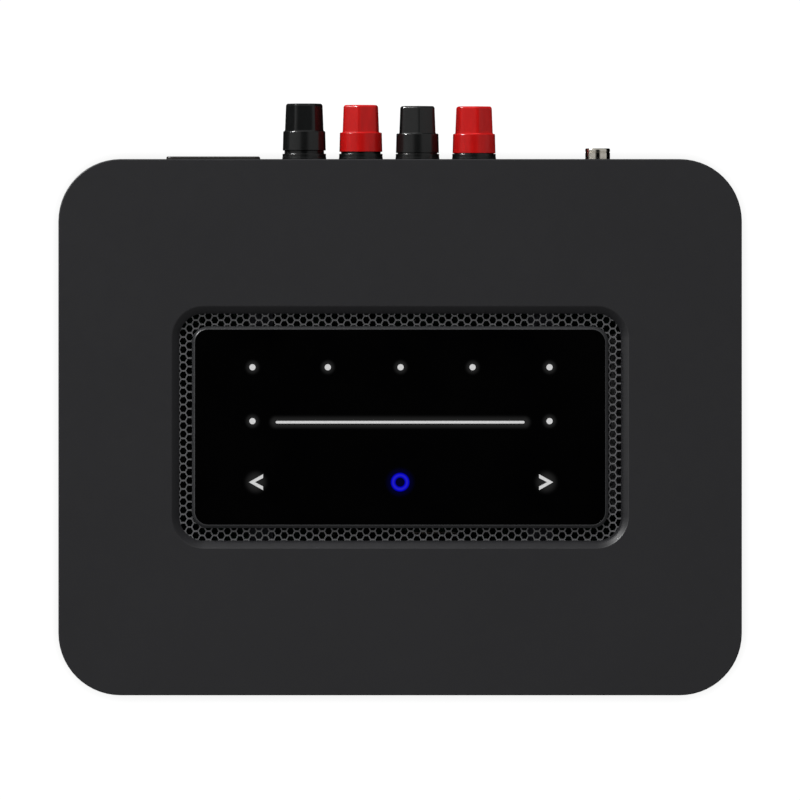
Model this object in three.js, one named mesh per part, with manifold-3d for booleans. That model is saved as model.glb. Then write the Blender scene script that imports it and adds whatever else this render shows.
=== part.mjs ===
// Bluetooth audio receiver with a built-in stereo amplifier: a low rounded casing in two shells, a glass
// touch panel floating in a vented recess, and a rear panel with four screw-down speaker posts.
// Millimetres. +X is to the right, +Y is the rear with the sockets, +Z is up.
import * as THREE from "three";
import { mergeVertices } from "three/addons/utils/BufferGeometryUtils.js";
import Module from "manifold-3d";

const wasm = await Module();
wasm.setup();

// ---- Driving dimensions ------------------------------------------------------------------------------

const BODY_WIDTH = 220;
const BODY_DEPTH = 172.6;
const BODY_HEIGHT = 70;
const CORNER_RADIUS = 20;
const POST_REACH = 18.3; // the most unscrewed speaker post, beyond the rear of the casing
const FOOT_HEIGHT = 3;
const WALL = 2.5;
const CORNER_STEPS = 4; // half the number of facets round each quarter turn of an outline
const GAP = 0.1; // between pieces that rest on each other
const FIT = 0.3; // between a piece and the hole that it sits in

const REAR = BODY_DEPTH / 2;
const FRONT = -REAR;
const FLOOR_TOP = FOOT_HEIGHT + WALL;
const CEILING = BODY_HEIGHT - WALL;

// The seam between the shells, and the band set back in it.
const SEAM_BOTTOM = 33.6;
const SEAM_TOP = 36.4;
const BAND_INSET = 1.5;
const BAND_LIP = 3.5; // how far the band's inner flange reaches past the seam
const TOP_FILLET = 0.8;
const BOTTOM_FILLET = 4;

// The recess in the top, its vent grille and the raised touch panel.
const RECESS = { width: 147, depth: 77.9, radius: 10.2 };
const RECESS_SLOPE = 2.5; // how far its wall leans in
const RECESS_EDGE = 0.5; // chamfer round its rim
const LIP_BOTTOM = 66.9;
const LIP_MARGIN = 3;
const GRILLE = { width: 150, depth: 81, radius: 11, top: 66.8, thickness: 0.6 };
const GRILLE_HOLE = { radius: 1.5, pitch: 9 };
const BEZEL = { width: 134.1, depth: 64.9, radius: 5.2, bottom: 61, top: 69 };
const GLASS = { width: 132, depth: 62.7, radius: 4.2, thickness: 1.5 };
const GLASS_BOTTOM = BEZEL.top - GLASS.thickness;

// Touch icons, from the centre of the glass.
const DOT_RADIUS = 1.1;
const DOT_ROW_Y = 19.3;
const DOT_ROW_X = [-47.6, -23.4, 0, 23.4, 47.6];
const SLIDER = { halfLength: 40.1, width: 1.05, y: 1.6 };
const SKIP_ROW_Y = -17.7;
const CHEVRON = { tipX: 48.7, armX: 44.1, halfHeight: 2.6, stroke: 1.3, notch: 2.05 };
const RING = { outer: 3.05, inner: 1.35 };
const WINDOW_GAP = 0.1;

// Under the glass: the diffuser that lights the icons, and the board that senses the touch.
const GUIDE = { bottom: 66.2, top: 67.2, tip: BEZEL.top - 0.05, width: 124, depth: 55, radius: 2, hub: 4.5 };
const TOUCH_BOARD = { width: 126, depth: 57, radius: 2, bottom: 64.4, top: 66 };

// The rear panel and what is on it. Sockets stand in two rows, each on its own board.
const PANEL = { halfWidth: 90.5, bottom: 9, top: 63, thickness: 1.6 };
const PANEL_OPENING = { halfWidth: 88.5, bottom: 12, top: 60, radius: 3 };
const PANEL_FACE = REAR - WALL - GAP;
const PANEL_BACK = PANEL_FACE - PANEL.thickness;
const BOARD_BOTTOM = 12;
const BOARD_THICKNESS = 1.6;
const BOARD_TOP = BOARD_BOTTOM + BOARD_THICKNESS;
const UPPER_BOARD_BOTTOM = 38;
const UPPER_ROW_Z = 45;
const JACK_FACE = PANEL_FACE + 0.3;

// Speaker posts: hexagonal knobs, each left at its own angle and nearly or fully tightened.
const POST_X = [-31, -12.7, 5.6, 23.9];
const POST_Z = 36;
const POST_TURN_DEG = [4, 22, 37, -15];
const POST_COLOURS = ["black", "red", "black", "red"];
const POST_OUT = [0.9, 0.45, 0.1, 0]; // how far each knob is unscrewed
const POST_END = REAR + POST_REACH - Math.max(...POST_OUT); // end of a tightened post
const COLLAR = {
  radius: 7.1,
  end: REAR + 2.05,
  spigot: 6.4, // reaches into the knob's skirt
  spigotEnd: REAR + 3.2,
  boss: 4.8,
  bossStart: PANEL_FACE - 6,
  bore: 3.3,
};
const STUD = {
  radius: 2.95,
  start: 71,
  end: POST_END - 2.2,
  bore: 2.05, // socket for a banana plug
  boreStart: PANEL_FACE,
  wireHole: 1.5,
  nut: 4.4,
  boardFace: 73.8, // where its flange meets the terminal board
};
const WASHER = { inner: 3.25, outer: 6, start: COLLAR.spigotEnd + 0.25, thickness: 1.2 };
const KNOB = {
  start: COLLAR.end + 0.2,
  skirtStart: 6.95,
  skirtEnd: 6.8,
  shoulder: REAR + 8.5,
  flats: 5.65,
  flatsEnd: 5.32,
  corners: 6.27,
  cornersEnd: 5.92,
  cavity: 6.55,
  cavityDepth: 2.6,
  bore: 3.3,
  endWall: 1.6,
  endHole: 2.4,
};

// Sockets. Each is described by its sides, its top and how deep it reaches behind the panel.
const LAN = { x0: 34, x1: 50, top: 27.3, depth: 21 };
const HDMI = { x0: 54.5, x1: 69.5, top: 19.7, depth: 12 };
const USB = { x0: 73.5, x1: 86.7, top: 20.6, depth: 16 };
const JACK = { half: 4, barrel: 3.8, hole: 1.8, depth: 12, bottom: 4.9, top: 4 };
const AUDIO_IN_X = 44;
const IR_IN_X = 81;
const HEADPHONE = { x: 82, z: 19, hole: 4.2 };
const INLET = { x: -60.4, z: 35, width: 30.2, height: 23.6, end: REAR + 1.1 };
const INLET_BODY = { width: 27.4, height: 19.6, depth: 21 };
const INLET_CAVITY = { width: 24, height: 16, depth: 16.4, cut: 4.5 };
const PIN = { width: 2, height: 4, start: 58, end: REAR - 2 };
const PIN_PLACES = { live: [-7, 2], neutral: [7, 2], earth: [0, -2] }; // from the inlet's centre
const PHONO = { x: 63.8, radius: 4, inner: 3.4, end: REAR + 3.7, bush: 2.9, contact: 1.6 };

// Electronics, from the centre of the casing.
const HEATSINK = { x: 20, front: -28, rear: 30, width: 66, base: 5, height: 30, fins: 9, fin: 2 };
const TRANSFORMER = { x: -58, y: -4, core: [36, 20, 26], winding: [28, 36, 23] };
const CAPACITOR = { x: -91, radius: 9, top: 43 };
const INDUCTOR = { y: 51, half: 7, top: 27 };
const RADIO = { x0: 42, x1: 70, y0: 47, y1: 60, height: 3.3 };
const ANTENNA = { halfLength: 22, bottom: 46, top: 56, thickness: 1, gap: 0.5 };
const TERMINAL_BOARD = { margin: 9, front: 74.2, rear: 75.8, below: 16, above: 14 };
const RIBBON = { x: 4, width: 14, thickness: 0.4, steps: 10, upperY: -34, lowerY: -50 };

// Screws and feet.
const SCREW_X = 92;
const SCREW_Y = 66;
const BOSS_RADIUS = 5;
const SCREW = { shank: 1.4, head: 2.8, headBottom: 3.6, headTop: 5.8, end: 50, socket: 1.2 };
const FOOT = { x: 78, y: 62, radius: 10, spigot: 2.4, spigotTop: 7 };
const STANDOFF = { x: [-96, -22, 2, 96], y: [-40, 30], radius: 2.5 };
const BOTTOM_VENT = { reach: 48, pitch: 12, halfWidth: 1.5, front: -30, rear: 20 };

// ---- Solids ------------------------------------------------------------------------------------------

// A closed three.js geometry as a manifold-3d solid.
function solid(geometry) {
  const bare = geometry.index ? geometry.toNonIndexed() : geometry.clone();
  bare.deleteAttribute("normal");
  bare.deleteAttribute("uv");
  const merged = mergeVertices(bare, 1e-4);
  const vertProperties = new Float32Array(merged.attributes.position.array);
  const triVerts = new Uint32Array(merged.index.array);
  return new wasm.Manifold(new wasm.Mesh({ numProp: 3, vertProperties, triVerts }));
}

// A solid's surface as a flat-shaded three.js geometry.
function surface(made) {
  const { vertProperties, triVerts } = made.getMesh();
  const geometry = new THREE.BufferGeometry();
  geometry.setAttribute("position", new THREE.BufferAttribute(new Float32Array(vertProperties), 3));
  geometry.setIndex(new THREE.BufferAttribute(new Uint32Array(triVerts), 1));
  const flat = geometry.toNonIndexed();
  flat.computeVertexNormals();
  return flat;
}

const join = (first, ...rest) => rest.reduce((made, next) => made.add(next), first);
const cut = (first, ...rest) => rest.reduce((made, next) => made.subtract(next), first);

// A box between two values on each axis.
function block(x0, x1, y0, y1, z0, z1) {
  const geometry = new THREE.BoxGeometry(x1 - x0, y1 - y0, z1 - z0);
  return solid(geometry.translate((x0 + x1) / 2, (y0 + y1) / 2, (z0 + z1) / 2));
}

function roundedRect(width, height, radius) {
  const [x, y] = [width / 2 - radius, height / 2 - radius];
  const shape = new THREE.Shape();
  shape.moveTo(x, -y - radius);
  shape.absarc(x, -y, radius, -Math.PI / 2, 0);
  shape.absarc(x, y, radius, 0, Math.PI / 2);
  shape.absarc(-x, y, radius, Math.PI / 2, Math.PI);
  shape.absarc(-x, -y, radius, Math.PI, 1.5 * Math.PI);
  shape.closePath();
  return shape;
}

// An outline drawn in X and Y, raised from z0 to z1.
function upright(shape, z0, z1, curveSegments = CORNER_STEPS) {
  const options = { depth: z1 - z0, bevelEnabled: false, curveSegments };
  return solid(new THREE.ExtrudeGeometry(shape, options).translate(0, 0, z0));
}

// An outline drawn in X and Z, pushed from y0 to y1 and placed at (x, z).
function rearward(shape, y0, y1, x, z, curveSegments = 3) {
  const options = { depth: y1 - y0, bevelEnabled: false, curveSegments };
  return solid(new THREE.ExtrudeGeometry(shape, options).rotateX(Math.PI / 2).translate(x, y1, z));
}

// A plate with rounded corners whose two faces are rimmed by a slope: inward by lean over a height of rise.
function rimmedPlate({ width, depth, radius }, z0, z1, lean, rise, rimSegments = 1) {
  const geometry = new THREE.ExtrudeGeometry(roundedRect(width, depth, radius), {
    depth: z1 - z0 - 2 * rise,
    bevelSize: lean,
    bevelOffset: -lean,
    bevelThickness: rise,
    bevelSegments: rimSegments,
    curveSegments: CORNER_STEPS,
  });
  return solid(geometry.translate(0, 0, z0 + rise));
}

const plate = ({ width, depth, radius }, z0, z1) => upright(roundedRect(width, depth, radius), z0, z1);
const inset = ({ width, depth, radius }, by) => ({
  width: width - 2 * by,
  depth: depth - 2 * by,
  radius: Math.max(radius - by, 0.5),
});

// A profile of [radius, y] points turned about a rearward axis at (x, z). The profile closes on itself.
function turned(profile, x, z, segments = 16) {
  const points = [...profile, profile[0]].map(([radius, y]) => new THREE.Vector2(radius, y));
  return solid(new THREE.LatheGeometry(points, segments).translate(x, 0, z));
}

// The same about a vertical axis at (x, y), with [radius, z] points.
function turnedUpright(profile, x, y, segments = 12) {
  const points = [...profile, profile[0]].map(([radius, z]) => new THREE.Vector2(radius, z));
  const geometry = new THREE.LatheGeometry(points, segments).rotateX(Math.PI / 2);
  return solid(geometry.translate(x, y, 0));
}

const rod = (radius, y0, y1, x, z, segments = 12) =>
  solid(new THREE.CylinderGeometry(radius, radius, y1 - y0, segments).translate(x, (y0 + y1) / 2, z));
const pillar = (radius, z0, z1, x, y, segments = 12) =>
  solid(
    new THREE.CylinderGeometry(radius, radius, z1 - z0, segments)
      .rotateX(Math.PI / 2)
      .translate(x, y, (z0 + z1) / 2),
  );

const BODY = { width: BODY_WIDTH, depth: BODY_DEPTH, radius: CORNER_RADIUS };
const CORNERS = [
  ["front_left", -1, -1],
  ["front_right", 1, -1],
  ["rear_left", -1, 1],
  ["rear_right", 1, 1],
];

// ---- Casing ------------------------------------------------------------------------------------------

// The opening in the rear wall that both shells share.
function rearOpening() {
  const { halfWidth, bottom, top, radius } = PANEL_OPENING;
  const outline = roundedRect(2 * halfWidth, top - bottom, radius);
  return rearward(outline, REAR - 3 * WALL, REAR + 1, 0, (bottom + top) / 2);
}

// The part of a rounded casing that lies between two heights.
const slice = (made, z0, z1) =>
  made.intersect(block(-BODY_WIDTH, BODY_WIDTH, -BODY_WIDTH, BODY_WIDTH, z0, z1));

function topShell() {
  const outside = rimmedPlate(BODY, SEAM_TOP - 10, BODY_HEIGHT, TOP_FILLET, TOP_FILLET, 2);
  const inside = plate(inset(BODY, WALL), SEAM_TOP - 11, CEILING);
  const lip = plate(inset(RECESS, -LIP_MARGIN), LIP_BOTTOM, CEILING + 1);
  const recess = rimmedPlate(RECESS, LIP_BOTTOM, BODY_HEIGHT + 10, RECESS_SLOPE, BODY_HEIGHT - LIP_BOTTOM);
  const rim = rimmedPlate(
    inset(RECESS, -RECESS_EDGE),
    BODY_HEIGHT - 2 * RECESS_EDGE,
    BODY_HEIGHT + 5,
    2 * RECESS_EDGE,
    2 * RECESS_EDGE,
  );
  const bosses = CORNERS.map(([, sx, sy]) =>
    pillar(BOSS_RADIUS, SEAM_TOP - 2.5, CEILING + 1, sx * SCREW_X, sy * SCREW_Y),
  );
  const pilots = CORNERS.map(([, sx, sy]) =>
    pillar(SCREW.shank + FIT, SEAM_TOP - 5, SCREW.end + 2, sx * SCREW_X, sy * SCREW_Y, 8),
  );
  const casing = slice(outside, SEAM_TOP, BODY_HEIGHT + 1).subtract(inside);
  return cut(join(casing, lip, ...bosses), recess, rim, rearOpening(), ...pilots);
}

function bottomShell() {
  const outside = rimmedPlate(BODY, FOOT_HEIGHT, SEAM_BOTTOM + 10, BOTTOM_FILLET, BOTTOM_FILLET, 2);
  const inside = plate(inset(BODY, WALL), FLOOR_TOP, SEAM_BOTTOM + 11);
  const bossTop = SEAM_TOP - 3;
  const bosses = CORNERS.map(([, sx, sy]) =>
    pillar(BOSS_RADIUS, FLOOR_TOP - 1, bossTop, sx * SCREW_X, sy * SCREW_Y),
  );
  const standoffs = STANDOFF.x.flatMap((x) =>
    STANDOFF.y.map((y) => pillar(STANDOFF.radius, FLOOR_TOP - 1, BOARD_BOTTOM - GAP, x, y, 8)),
  );
  const screwHoles = CORNERS.flatMap(([, sx, sy]) => [
    pillar(SCREW.shank + FIT, FOOT_HEIGHT, bossTop + 1, sx * SCREW_X, sy * SCREW_Y, 8),
    pillar(SCREW.head + FIT, FOOT_HEIGHT - 1, SCREW.headTop + FIT, sx * SCREW_X, sy * SCREW_Y, 12),
  ]);
  const footHoles = CORNERS.map(([, sx, sy]) =>
    pillar(FOOT.spigot + FIT, FOOT_HEIGHT - 1, FLOOR_TOP + 1, sx * FOOT.x, sy * FOOT.y, 8),
  );
  const { reach, pitch, halfWidth, front, rear } = BOTTOM_VENT;
  const vents = [];
  for (let x = -reach; x <= reach; x += pitch)
    vents.push(block(x - halfWidth, x + halfWidth, front, rear, FOOT_HEIGHT - 1, FLOOR_TOP + 1));
  const headphoneHole = rod(HEADPHONE.hole, FRONT - 1, FRONT + WALL + 1, HEADPHONE.x, HEADPHONE.z);
  const casing = slice(outside, FOOT_HEIGHT - 1, SEAM_BOTTOM).subtract(inside);
  return cut(
    join(casing, ...bosses, ...standoffs),
    rearOpening(),
    ...screwHoles,
    ...footHoles,
    ...vents,
    headphoneHole,
  );
}

// The set-back band in the seam. Its inner flange lines the two shells up, and it stops at the rear panel.
function seamBand() {
  const ring = (outer, inner, z0, z1) => plate(inset(BODY, outer), z0, z1).subtract(
    plate(inset(BODY, inner), z0 - 1, z1 + 1),
  );
  const web = ring(BAND_INSET, WALL + 1.7, SEAM_BOTTOM + GAP, SEAM_TOP - GAP);
  const flange = ring(WALL + 0.2, WALL + 1.7, SEAM_BOTTOM - BAND_LIP, SEAM_TOP + BAND_LIP);
  const gap = block(-PANEL.halfWidth - 1, PANEL.halfWidth + 1, REAR - 12, REAR + 1, 0, BODY_HEIGHT);
  return web.add(flange).subtract(gap);
}

function rearPanel() {
  const { halfWidth, bottom, top } = PANEL;
  const sheet = block(-halfWidth, halfWidth, PANEL_BACK, PANEL_FACE, bottom, top);
  const through = [PANEL_BACK - 1, PANEL_FACE + 1];
  const hole = (radius, x, z) => rod(radius, ...through, x, z);
  const window = (x0, x1, z0, z1) => block(x0 - FIT, x1 + FIT, ...through, z0 - FIT, z1 + FIT);
  const { x, z } = INLET;
  const [inletHalf, inletRise] = [INLET_BODY.width / 2, INLET_BODY.height / 2];
  return cut(
    sheet,
    ...POST_X.map((postX) => hole(COLLAR.boss + FIT, postX, POST_Z)),
    window(x - inletHalf, x + inletHalf, z - inletRise, z + inletRise),
    window(LAN.x0, LAN.x1, BOARD_TOP + GAP, LAN.top),
    window(HDMI.x0, HDMI.x1, BOARD_TOP + GAP, HDMI.top),
    window(USB.x0, USB.x1, BOARD_TOP + GAP, USB.top),
    hole(JACK.barrel + FIT, AUDIO_IN_X, UPPER_ROW_Z),
    hole(JACK.barrel + FIT, IR_IN_X, UPPER_ROW_Z),
    hole(PHONO.bush + FIT, PHONO.x, UPPER_ROW_Z),
  );
}

function foot(sx, sy) {
  const { x, y, radius, spigot, spigotTop } = FOOT;
  const top = FOOT_HEIGHT - GAP;
  const profile = [
    [0, 0],
    [radius - 1, 0],
    [radius, 1],
    [radius, top],
    [spigot, top],
    [spigot, spigotTop],
    [0, spigotTop],
  ];
  return turnedUpright(profile, sx * x, sy * y);
}

function caseScrew(sx, sy) {
  const { shank, head, headBottom, headTop, end, socket } = SCREW;
  const profile = [
    [0, headBottom],
    [head, headBottom],
    [head, headTop],
    [shank, headTop],
    [shank, end - 1.4],
    [0, end],
  ];
  const body = turnedUpright(profile, sx * SCREW_X, sy * SCREW_Y, 8);
  return body.subtract(pillar(socket, headBottom - 1, headBottom + 1.2, sx * SCREW_X, sy * SCREW_Y, 6));
}

// ---- Vent grille and touch panel ---------------------------------------------------------------------

function ventGrille() {
  const { top, thickness } = GRILLE;
  const [z0, z1] = [top - thickness, top];
  const sheet = plate(GRILLE, z0, z1).subtract(plate(inset(BEZEL, -FIT), z0 - 1, z1 + 1));
  const rowX = (BEZEL.width + RECESS.width - 2 * RECESS_SLOPE) / 4;
  const rowY = (BEZEL.depth + RECESS.depth - 2 * RECESS_SLOPE) / 4;
  const hole = (x, y) => pillar(GRILLE_HOLE.radius, z0 - 1, z1 + 1, x, y, 6);
  const row = (half) => {
    const count = Math.floor((2 * half) / GRILLE_HOLE.pitch);
    return Array.from({ length: count + 1 }, (_, i) => (i - count / 2) * GRILLE_HOLE.pitch);
  };
  const holes = [
    ...row(rowX - BEZEL.radius).flatMap((x) => [hole(x, rowY), hole(x, -rowY)]),
    ...row(rowY - BEZEL.radius).flatMap((y) => [hole(rowX, y), hole(-rowX, y)]),
  ];
  return cut(sheet, ...holes);
}

// The frame round the glass, with a ledge under the glass and four ears that reach to the top shell.
function panelBezel() {
  const { bottom, top } = BEZEL;
  const outside = rimmedPlate(BEZEL, bottom - 10, top, 0.95, 1.3, 2).intersect(
    block(-BODY_WIDTH, BODY_WIDTH, -BODY_DEPTH, BODY_DEPTH, bottom, top + 1),
  );
  const seat = plate(inset(GLASS, -WINDOW_GAP), GLASS_BOTTOM - GAP, top + 1);
  const opening = plate(inset(GLASS, 1.6), bottom - 1, top + 1);
  const ears = [-45, 45].flatMap((x) =>
    [-1, 1].map((side) => {
      const [near, far] = [BEZEL.depth / 2 - 1, GRILLE.depth / 2 - 1].map((y) => side * y);
      return block(x - 4, x + 4, Math.min(near, far), Math.max(near, far), bottom, bottom + 2);
    }),
  );
  return cut(join(outside, ...ears), seat, opening);
}

// One skip arrow as an outline. side is -1 for back and 1 for forward, and grow widens it on every side.
function chevron(side, grow = 0) {
  const { tipX, armX, halfHeight, stroke, notch } = CHEVRON;
  const outline = new THREE.Shape();
  const rise = halfHeight + grow;
  const points = [
    [tipX + grow, 0],
    [armX - grow, rise],
    [armX - grow, rise - stroke - grow],
    [tipX - notch - grow, 0],
    [armX - grow, -(rise - stroke - grow)],
    [armX - grow, -rise],
  ];
  outline.setFromPoints(points.map(([x, y]) => new THREE.Vector2(side * x, SKIP_ROW_Y + y)));
  return outline;
}

// Every white icon as a set of pillars between two heights.
function iconPillars(z0, z1, grow = 0) {
  const dots = DOT_ROW_X.map((x) => pillar(DOT_RADIUS + grow, z0, z1, x, DOT_ROW_Y, 12));
  const outermost = [DOT_ROW_X[0], DOT_ROW_X.at(-1)];
  const ends = outermost.map((x) => pillar(DOT_RADIUS + grow, z0, z1, x, SLIDER.y, 12));
  const { halfLength, width, y } = SLIDER;
  const [reach, half] = [halfLength + grow, width / 2 + grow];
  const bar = block(-reach, reach, y - half, y + half, z0, z1);
  const arrows = [-1, 1].map((side) => upright(chevron(side, grow), z0, z1));
  return [...dots, ...ends, bar, ...arrows];
}

function touchGlass() {
  const sheet = plate(GLASS, GLASS_BOTTOM, BEZEL.top);
  const [z0, z1] = [GLASS_BOTTOM - 1, BEZEL.top + 1];
  return cut(
    sheet,
    ...iconPillars(z0, z1, WINDOW_GAP),
    pillar(RING.outer + WINDOW_GAP, z0, z1, 0, SKIP_ROW_Y, 16),
  );
}

// The diffuser under the glass, whose tips come up through the windows.
function iconLightGuide() {
  const { bottom, top, tip, hub } = GUIDE;
  const base = plate(GUIDE, bottom, top).subtract(pillar(hub + FIT, bottom - 1, top + 1, 0, SKIP_ROW_Y, 16));
  return join(base, ...iconPillars(top - 0.5, tip));
}

function playRingGuide() {
  const { bottom, top, tip, hub } = GUIDE;
  const profile = [
    [RING.inner, bottom],
    [hub, bottom],
    [hub, top],
    [RING.outer, top],
    [RING.outer, tip],
    [RING.inner, tip],
  ];
  return turnedUpright(profile, 0, SKIP_ROW_Y, 16);
}

const touchBoard = () => plate(TOUCH_BOARD, TOUCH_BOARD.bottom, TOUCH_BOARD.top);

// A flat flexible cable from the touch board down to the main board, in one lazy bend.
function touchRibbon() {
  const { x, width, thickness, steps, upperY, lowerY } = RIBBON;
  const bend = new THREE.CubicBezierCurve(
    new THREE.Vector2(upperY, TOUCH_BOARD.bottom - 1.2),
    new THREE.Vector2(upperY, 38),
    new THREE.Vector2(lowerY, 46),
    new THREE.Vector2(lowerY, BOARD_TOP + 0.4),
  );
  const side = (way) =>
    Array.from({ length: steps + 1 }, (_, i) => {
      const [at, along] = [bend.getPoint(i / steps), bend.getTangent(i / steps)];
      return new THREE.Vector2(-along.y, along.x).multiplyScalar((way * thickness) / 2).add(at);
    });
  const outline = new THREE.Shape([...side(1), ...side(-1).reverse()]);
  const geometry = new THREE.ExtrudeGeometry(outline, { depth: width, bevelEnabled: false });
  // The outline is drawn in Y and Z, so the extrusion is turned to run along X.
  return solid(geometry.rotateY(Math.PI / 2).rotateX(Math.PI / 2).translate(x, 0, 0));
}

// ---- Electronics -------------------------------------------------------------------------------------

// A board with round notches where the casing's screw bosses pass.
function board(x0, x1, y0, y1, z0, notches = []) {
  const sheet = block(x0, x1, y0, y1, z0, z0 + BOARD_THICKNESS);
  const inside = plate(inset(BODY, WALL + 1), z0 - 1, z0 + BOARD_THICKNESS + 1);
  const notch = ([x, y]) => pillar(BOSS_RADIUS + 1, z0 - 1, z0 + 3, x, y);
  return cut(sheet.intersect(inside), ...notches.map(notch));
}

const mainBoard = () =>
  board(-8, 104, FRONT + 6, PANEL_BACK - 1, BOARD_BOTTOM, [
    [SCREW_X, SCREW_Y],
    [SCREW_X, -SCREW_Y],
  ]);
const powerBoard = () => board(-104, -14, FRONT + 6, 55, BOARD_BOTTOM, [[-SCREW_X, -SCREW_Y]]);
const audioBoard = () => board(35, 91, 44, PANEL_BACK - 1, UPPER_BOARD_BOTTOM, [[SCREW_X, SCREW_Y]]);

// The vertical board that ties the inner ends of the four posts together.
function terminalBoard() {
  const { margin, front, rear, below, above } = TERMINAL_BOARD;
  const [x0, x1] = [POST_X[0] - margin, POST_X.at(-1) + margin];
  const sheet = block(x0, x1, front, rear, POST_Z - below, POST_Z + above);
  return cut(sheet, ...POST_X.map((x) => rod(STUD.radius + FIT, front - 1, rear + 1, x, POST_Z)));
}

// A finned block, drawn as a comb in X and Z.
function heatsink() {
  const { x, front, rear, width, base, height, fins, fin } = HEATSINK;
  const step = (width - fin) / (fins - 1);
  const comb = [new THREE.Vector2(width, 0), new THREE.Vector2(0, 0)];
  for (let i = 0; i < fins; i++) {
    comb.push(new THREE.Vector2(i * step, height), new THREE.Vector2(i * step + fin, height));
    if (i === fins - 1) break;
    comb.push(new THREE.Vector2(i * step + fin, base), new THREE.Vector2((i + 1) * step, base));
  }
  return rearward(new THREE.Shape(comb), front, rear, x, BOARD_TOP + GAP);
}

// A box that stands on the lower boards, centred on (x, y).
function standing(x, y, [width, depth, height], lift = 0) {
  const bottom = BOARD_TOP + GAP + lift;
  return block(x - width / 2, x + width / 2, y - depth / 2, y + depth / 2, bottom, bottom + height);
}

// The supply's transformer: a ferrite core wrapped round a wound bobbin.
function transformer() {
  const { x, y, core, winding } = TRANSFORMER;
  return standing(x, y, core, 1).add(standing(x, y, winding));
}

function bulkCapacitor(y) {
  return pillar(CAPACITOR.radius, BOARD_TOP + GAP, CAPACITOR.top, CAPACITOR.x, y, 16);
}

function outputInductor(x) {
  const { y, half, top } = INDUCTOR;
  return block(x - half, x + half, y - half, y + half, BOARD_TOP + GAP, top);
}

function radioModule() {
  const { x0, x1, y0, y1, height } = RADIO;
  const bottom = UPPER_BOARD_BOTTOM + BOARD_THICKNESS + GAP;
  return block(x0, x1, y0, y1, bottom, bottom + height);
}

// A strip of circuit board on the inside of a side wall. side is -1 for the left and 1 for the right.
function antenna(side) {
  const { halfLength, bottom, top, thickness, gap } = ANTENNA;
  const wall = BODY_WIDTH / 2 - WALL - gap;
  const [x0, x1] = [side * wall, side * (wall - thickness)].sort((a, b) => a - b);
  return block(x0, x1, -halfLength, halfLength, bottom, top);
}

// ---- Sockets -----------------------------------------------------------------------------------------

function mainsInlet() {
  const { x, z, width, height, end } = INLET;
  const flange = rearward(roundedRect(width, height, 2), PANEL_FACE + GAP, end, x, z, 4);
  const section = roundedRect(INLET_BODY.width, INLET_BODY.height, 1.5);
  const body = rearward(section, PANEL_FACE - INLET_BODY.depth, PANEL_FACE + 1, x, z);
  const [side, top, corner] = [INLET_CAVITY.width / 2, INLET_CAVITY.height / 2, INLET_CAVITY.cut];
  const mouth = new THREE.Shape([
    new THREE.Vector2(-side, top),
    new THREE.Vector2(-side, corner - top),
    new THREE.Vector2(corner - side, -top),
    new THREE.Vector2(side - corner, -top),
    new THREE.Vector2(side, corner - top),
    new THREE.Vector2(side, top),
  ]);
  const cavity = rearward(mouth, end - INLET_CAVITY.depth, end + 1, x, z);
  const slots = Object.values(PIN_PLACES).map(([dx, dz]) => pinBlade(dx, dz, FIT / 2));
  return cut(join(flange, body), cavity, ...slots);
}

function pinBlade(dx, dz, grow = 0) {
  const [x, z] = [INLET.x + dx, INLET.z + dz];
  const [halfWidth, halfHeight] = [PIN.width / 2 + grow, PIN.height / 2 + grow];
  return block(x - halfWidth, x + halfWidth, PIN.start - grow, PIN.end, z - halfHeight, z + halfHeight);
}

function phonoShell() {
  const { radius, inner, end, x } = PHONO;
  const face = PANEL_FACE + GAP;
  const profile = [
    [inner, face],
    [5.4, face],
    [5.4, face + 1.2],
    [radius, face + 1.2],
    [radius, end - 0.3],
    [radius - 0.3, end],
    [inner, end],
  ];
  return turned(profile, x, UPPER_ROW_Z);
}

// The bush inside the phono socket and the housing behind the panel that it grows from.
function phonoInsulator() {
  const { bush, contact, end, x } = PHONO;
  const [bottom, back] = [UPPER_BOARD_BOTTOM + BOARD_THICKNESS + GAP, PANEL_BACK - GAP];
  const housing = block(x - 5, x + 5, back - 10, back, bottom, UPPER_ROW_Z + 5);
  const sleeve = rod(bush, back - 1, end - 1.2, x, UPPER_ROW_Z);
  return join(housing, sleeve).subtract(rod(contact, back - 8, end + 1, x, UPPER_ROW_Z));
}

function lanJack() {
  const { x0, x1, top, depth } = LAN;
  const [middle, bottom] = [(x0 + x1) / 2, BOARD_TOP + GAP];
  const housing = block(x0, x1, JACK_FACE - depth, JACK_FACE, bottom, top);
  const mouth = block(middle - 5.9, middle + 5.9, JACK_FACE - 13, JACK_FACE + 1, bottom + 3.4, top - 1.6);
  const latch = block(middle - 3, middle + 3, JACK_FACE - 13, JACK_FACE + 1, bottom + 1.2, bottom + 4);
  return cut(housing, mouth, latch);
}

// A flat shell socket with a contact tongue standing inside it.
function tongueJack({ x0, x1, top, depth }, wall, tongueInset, tongue) {
  const bottom = BOARD_TOP + GAP;
  const housing = block(x0, x1, JACK_FACE - depth, JACK_FACE, bottom, top);
  const mouth = block(x0 + wall, x1 - wall, JACK_FACE - depth + 2, JACK_FACE + 1, bottom + wall, top - wall);
  const [t0, t1] = tongue;
  const [left, right] = [x0 + tongueInset, x1 - tongueInset];
  const blade = block(left, right, JACK_FACE - depth + 1, JACK_FACE - 1, bottom + t0, bottom + t1);
  return housing.subtract(mouth).add(blade);
}

const hdmiJack = () => tongueJack(HDMI, 0.6, 2, [2.2, 3.4]);
const usbJack = () => tongueJack(USB, 0.6, 1.2, [3.4, 5.2]);

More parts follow.
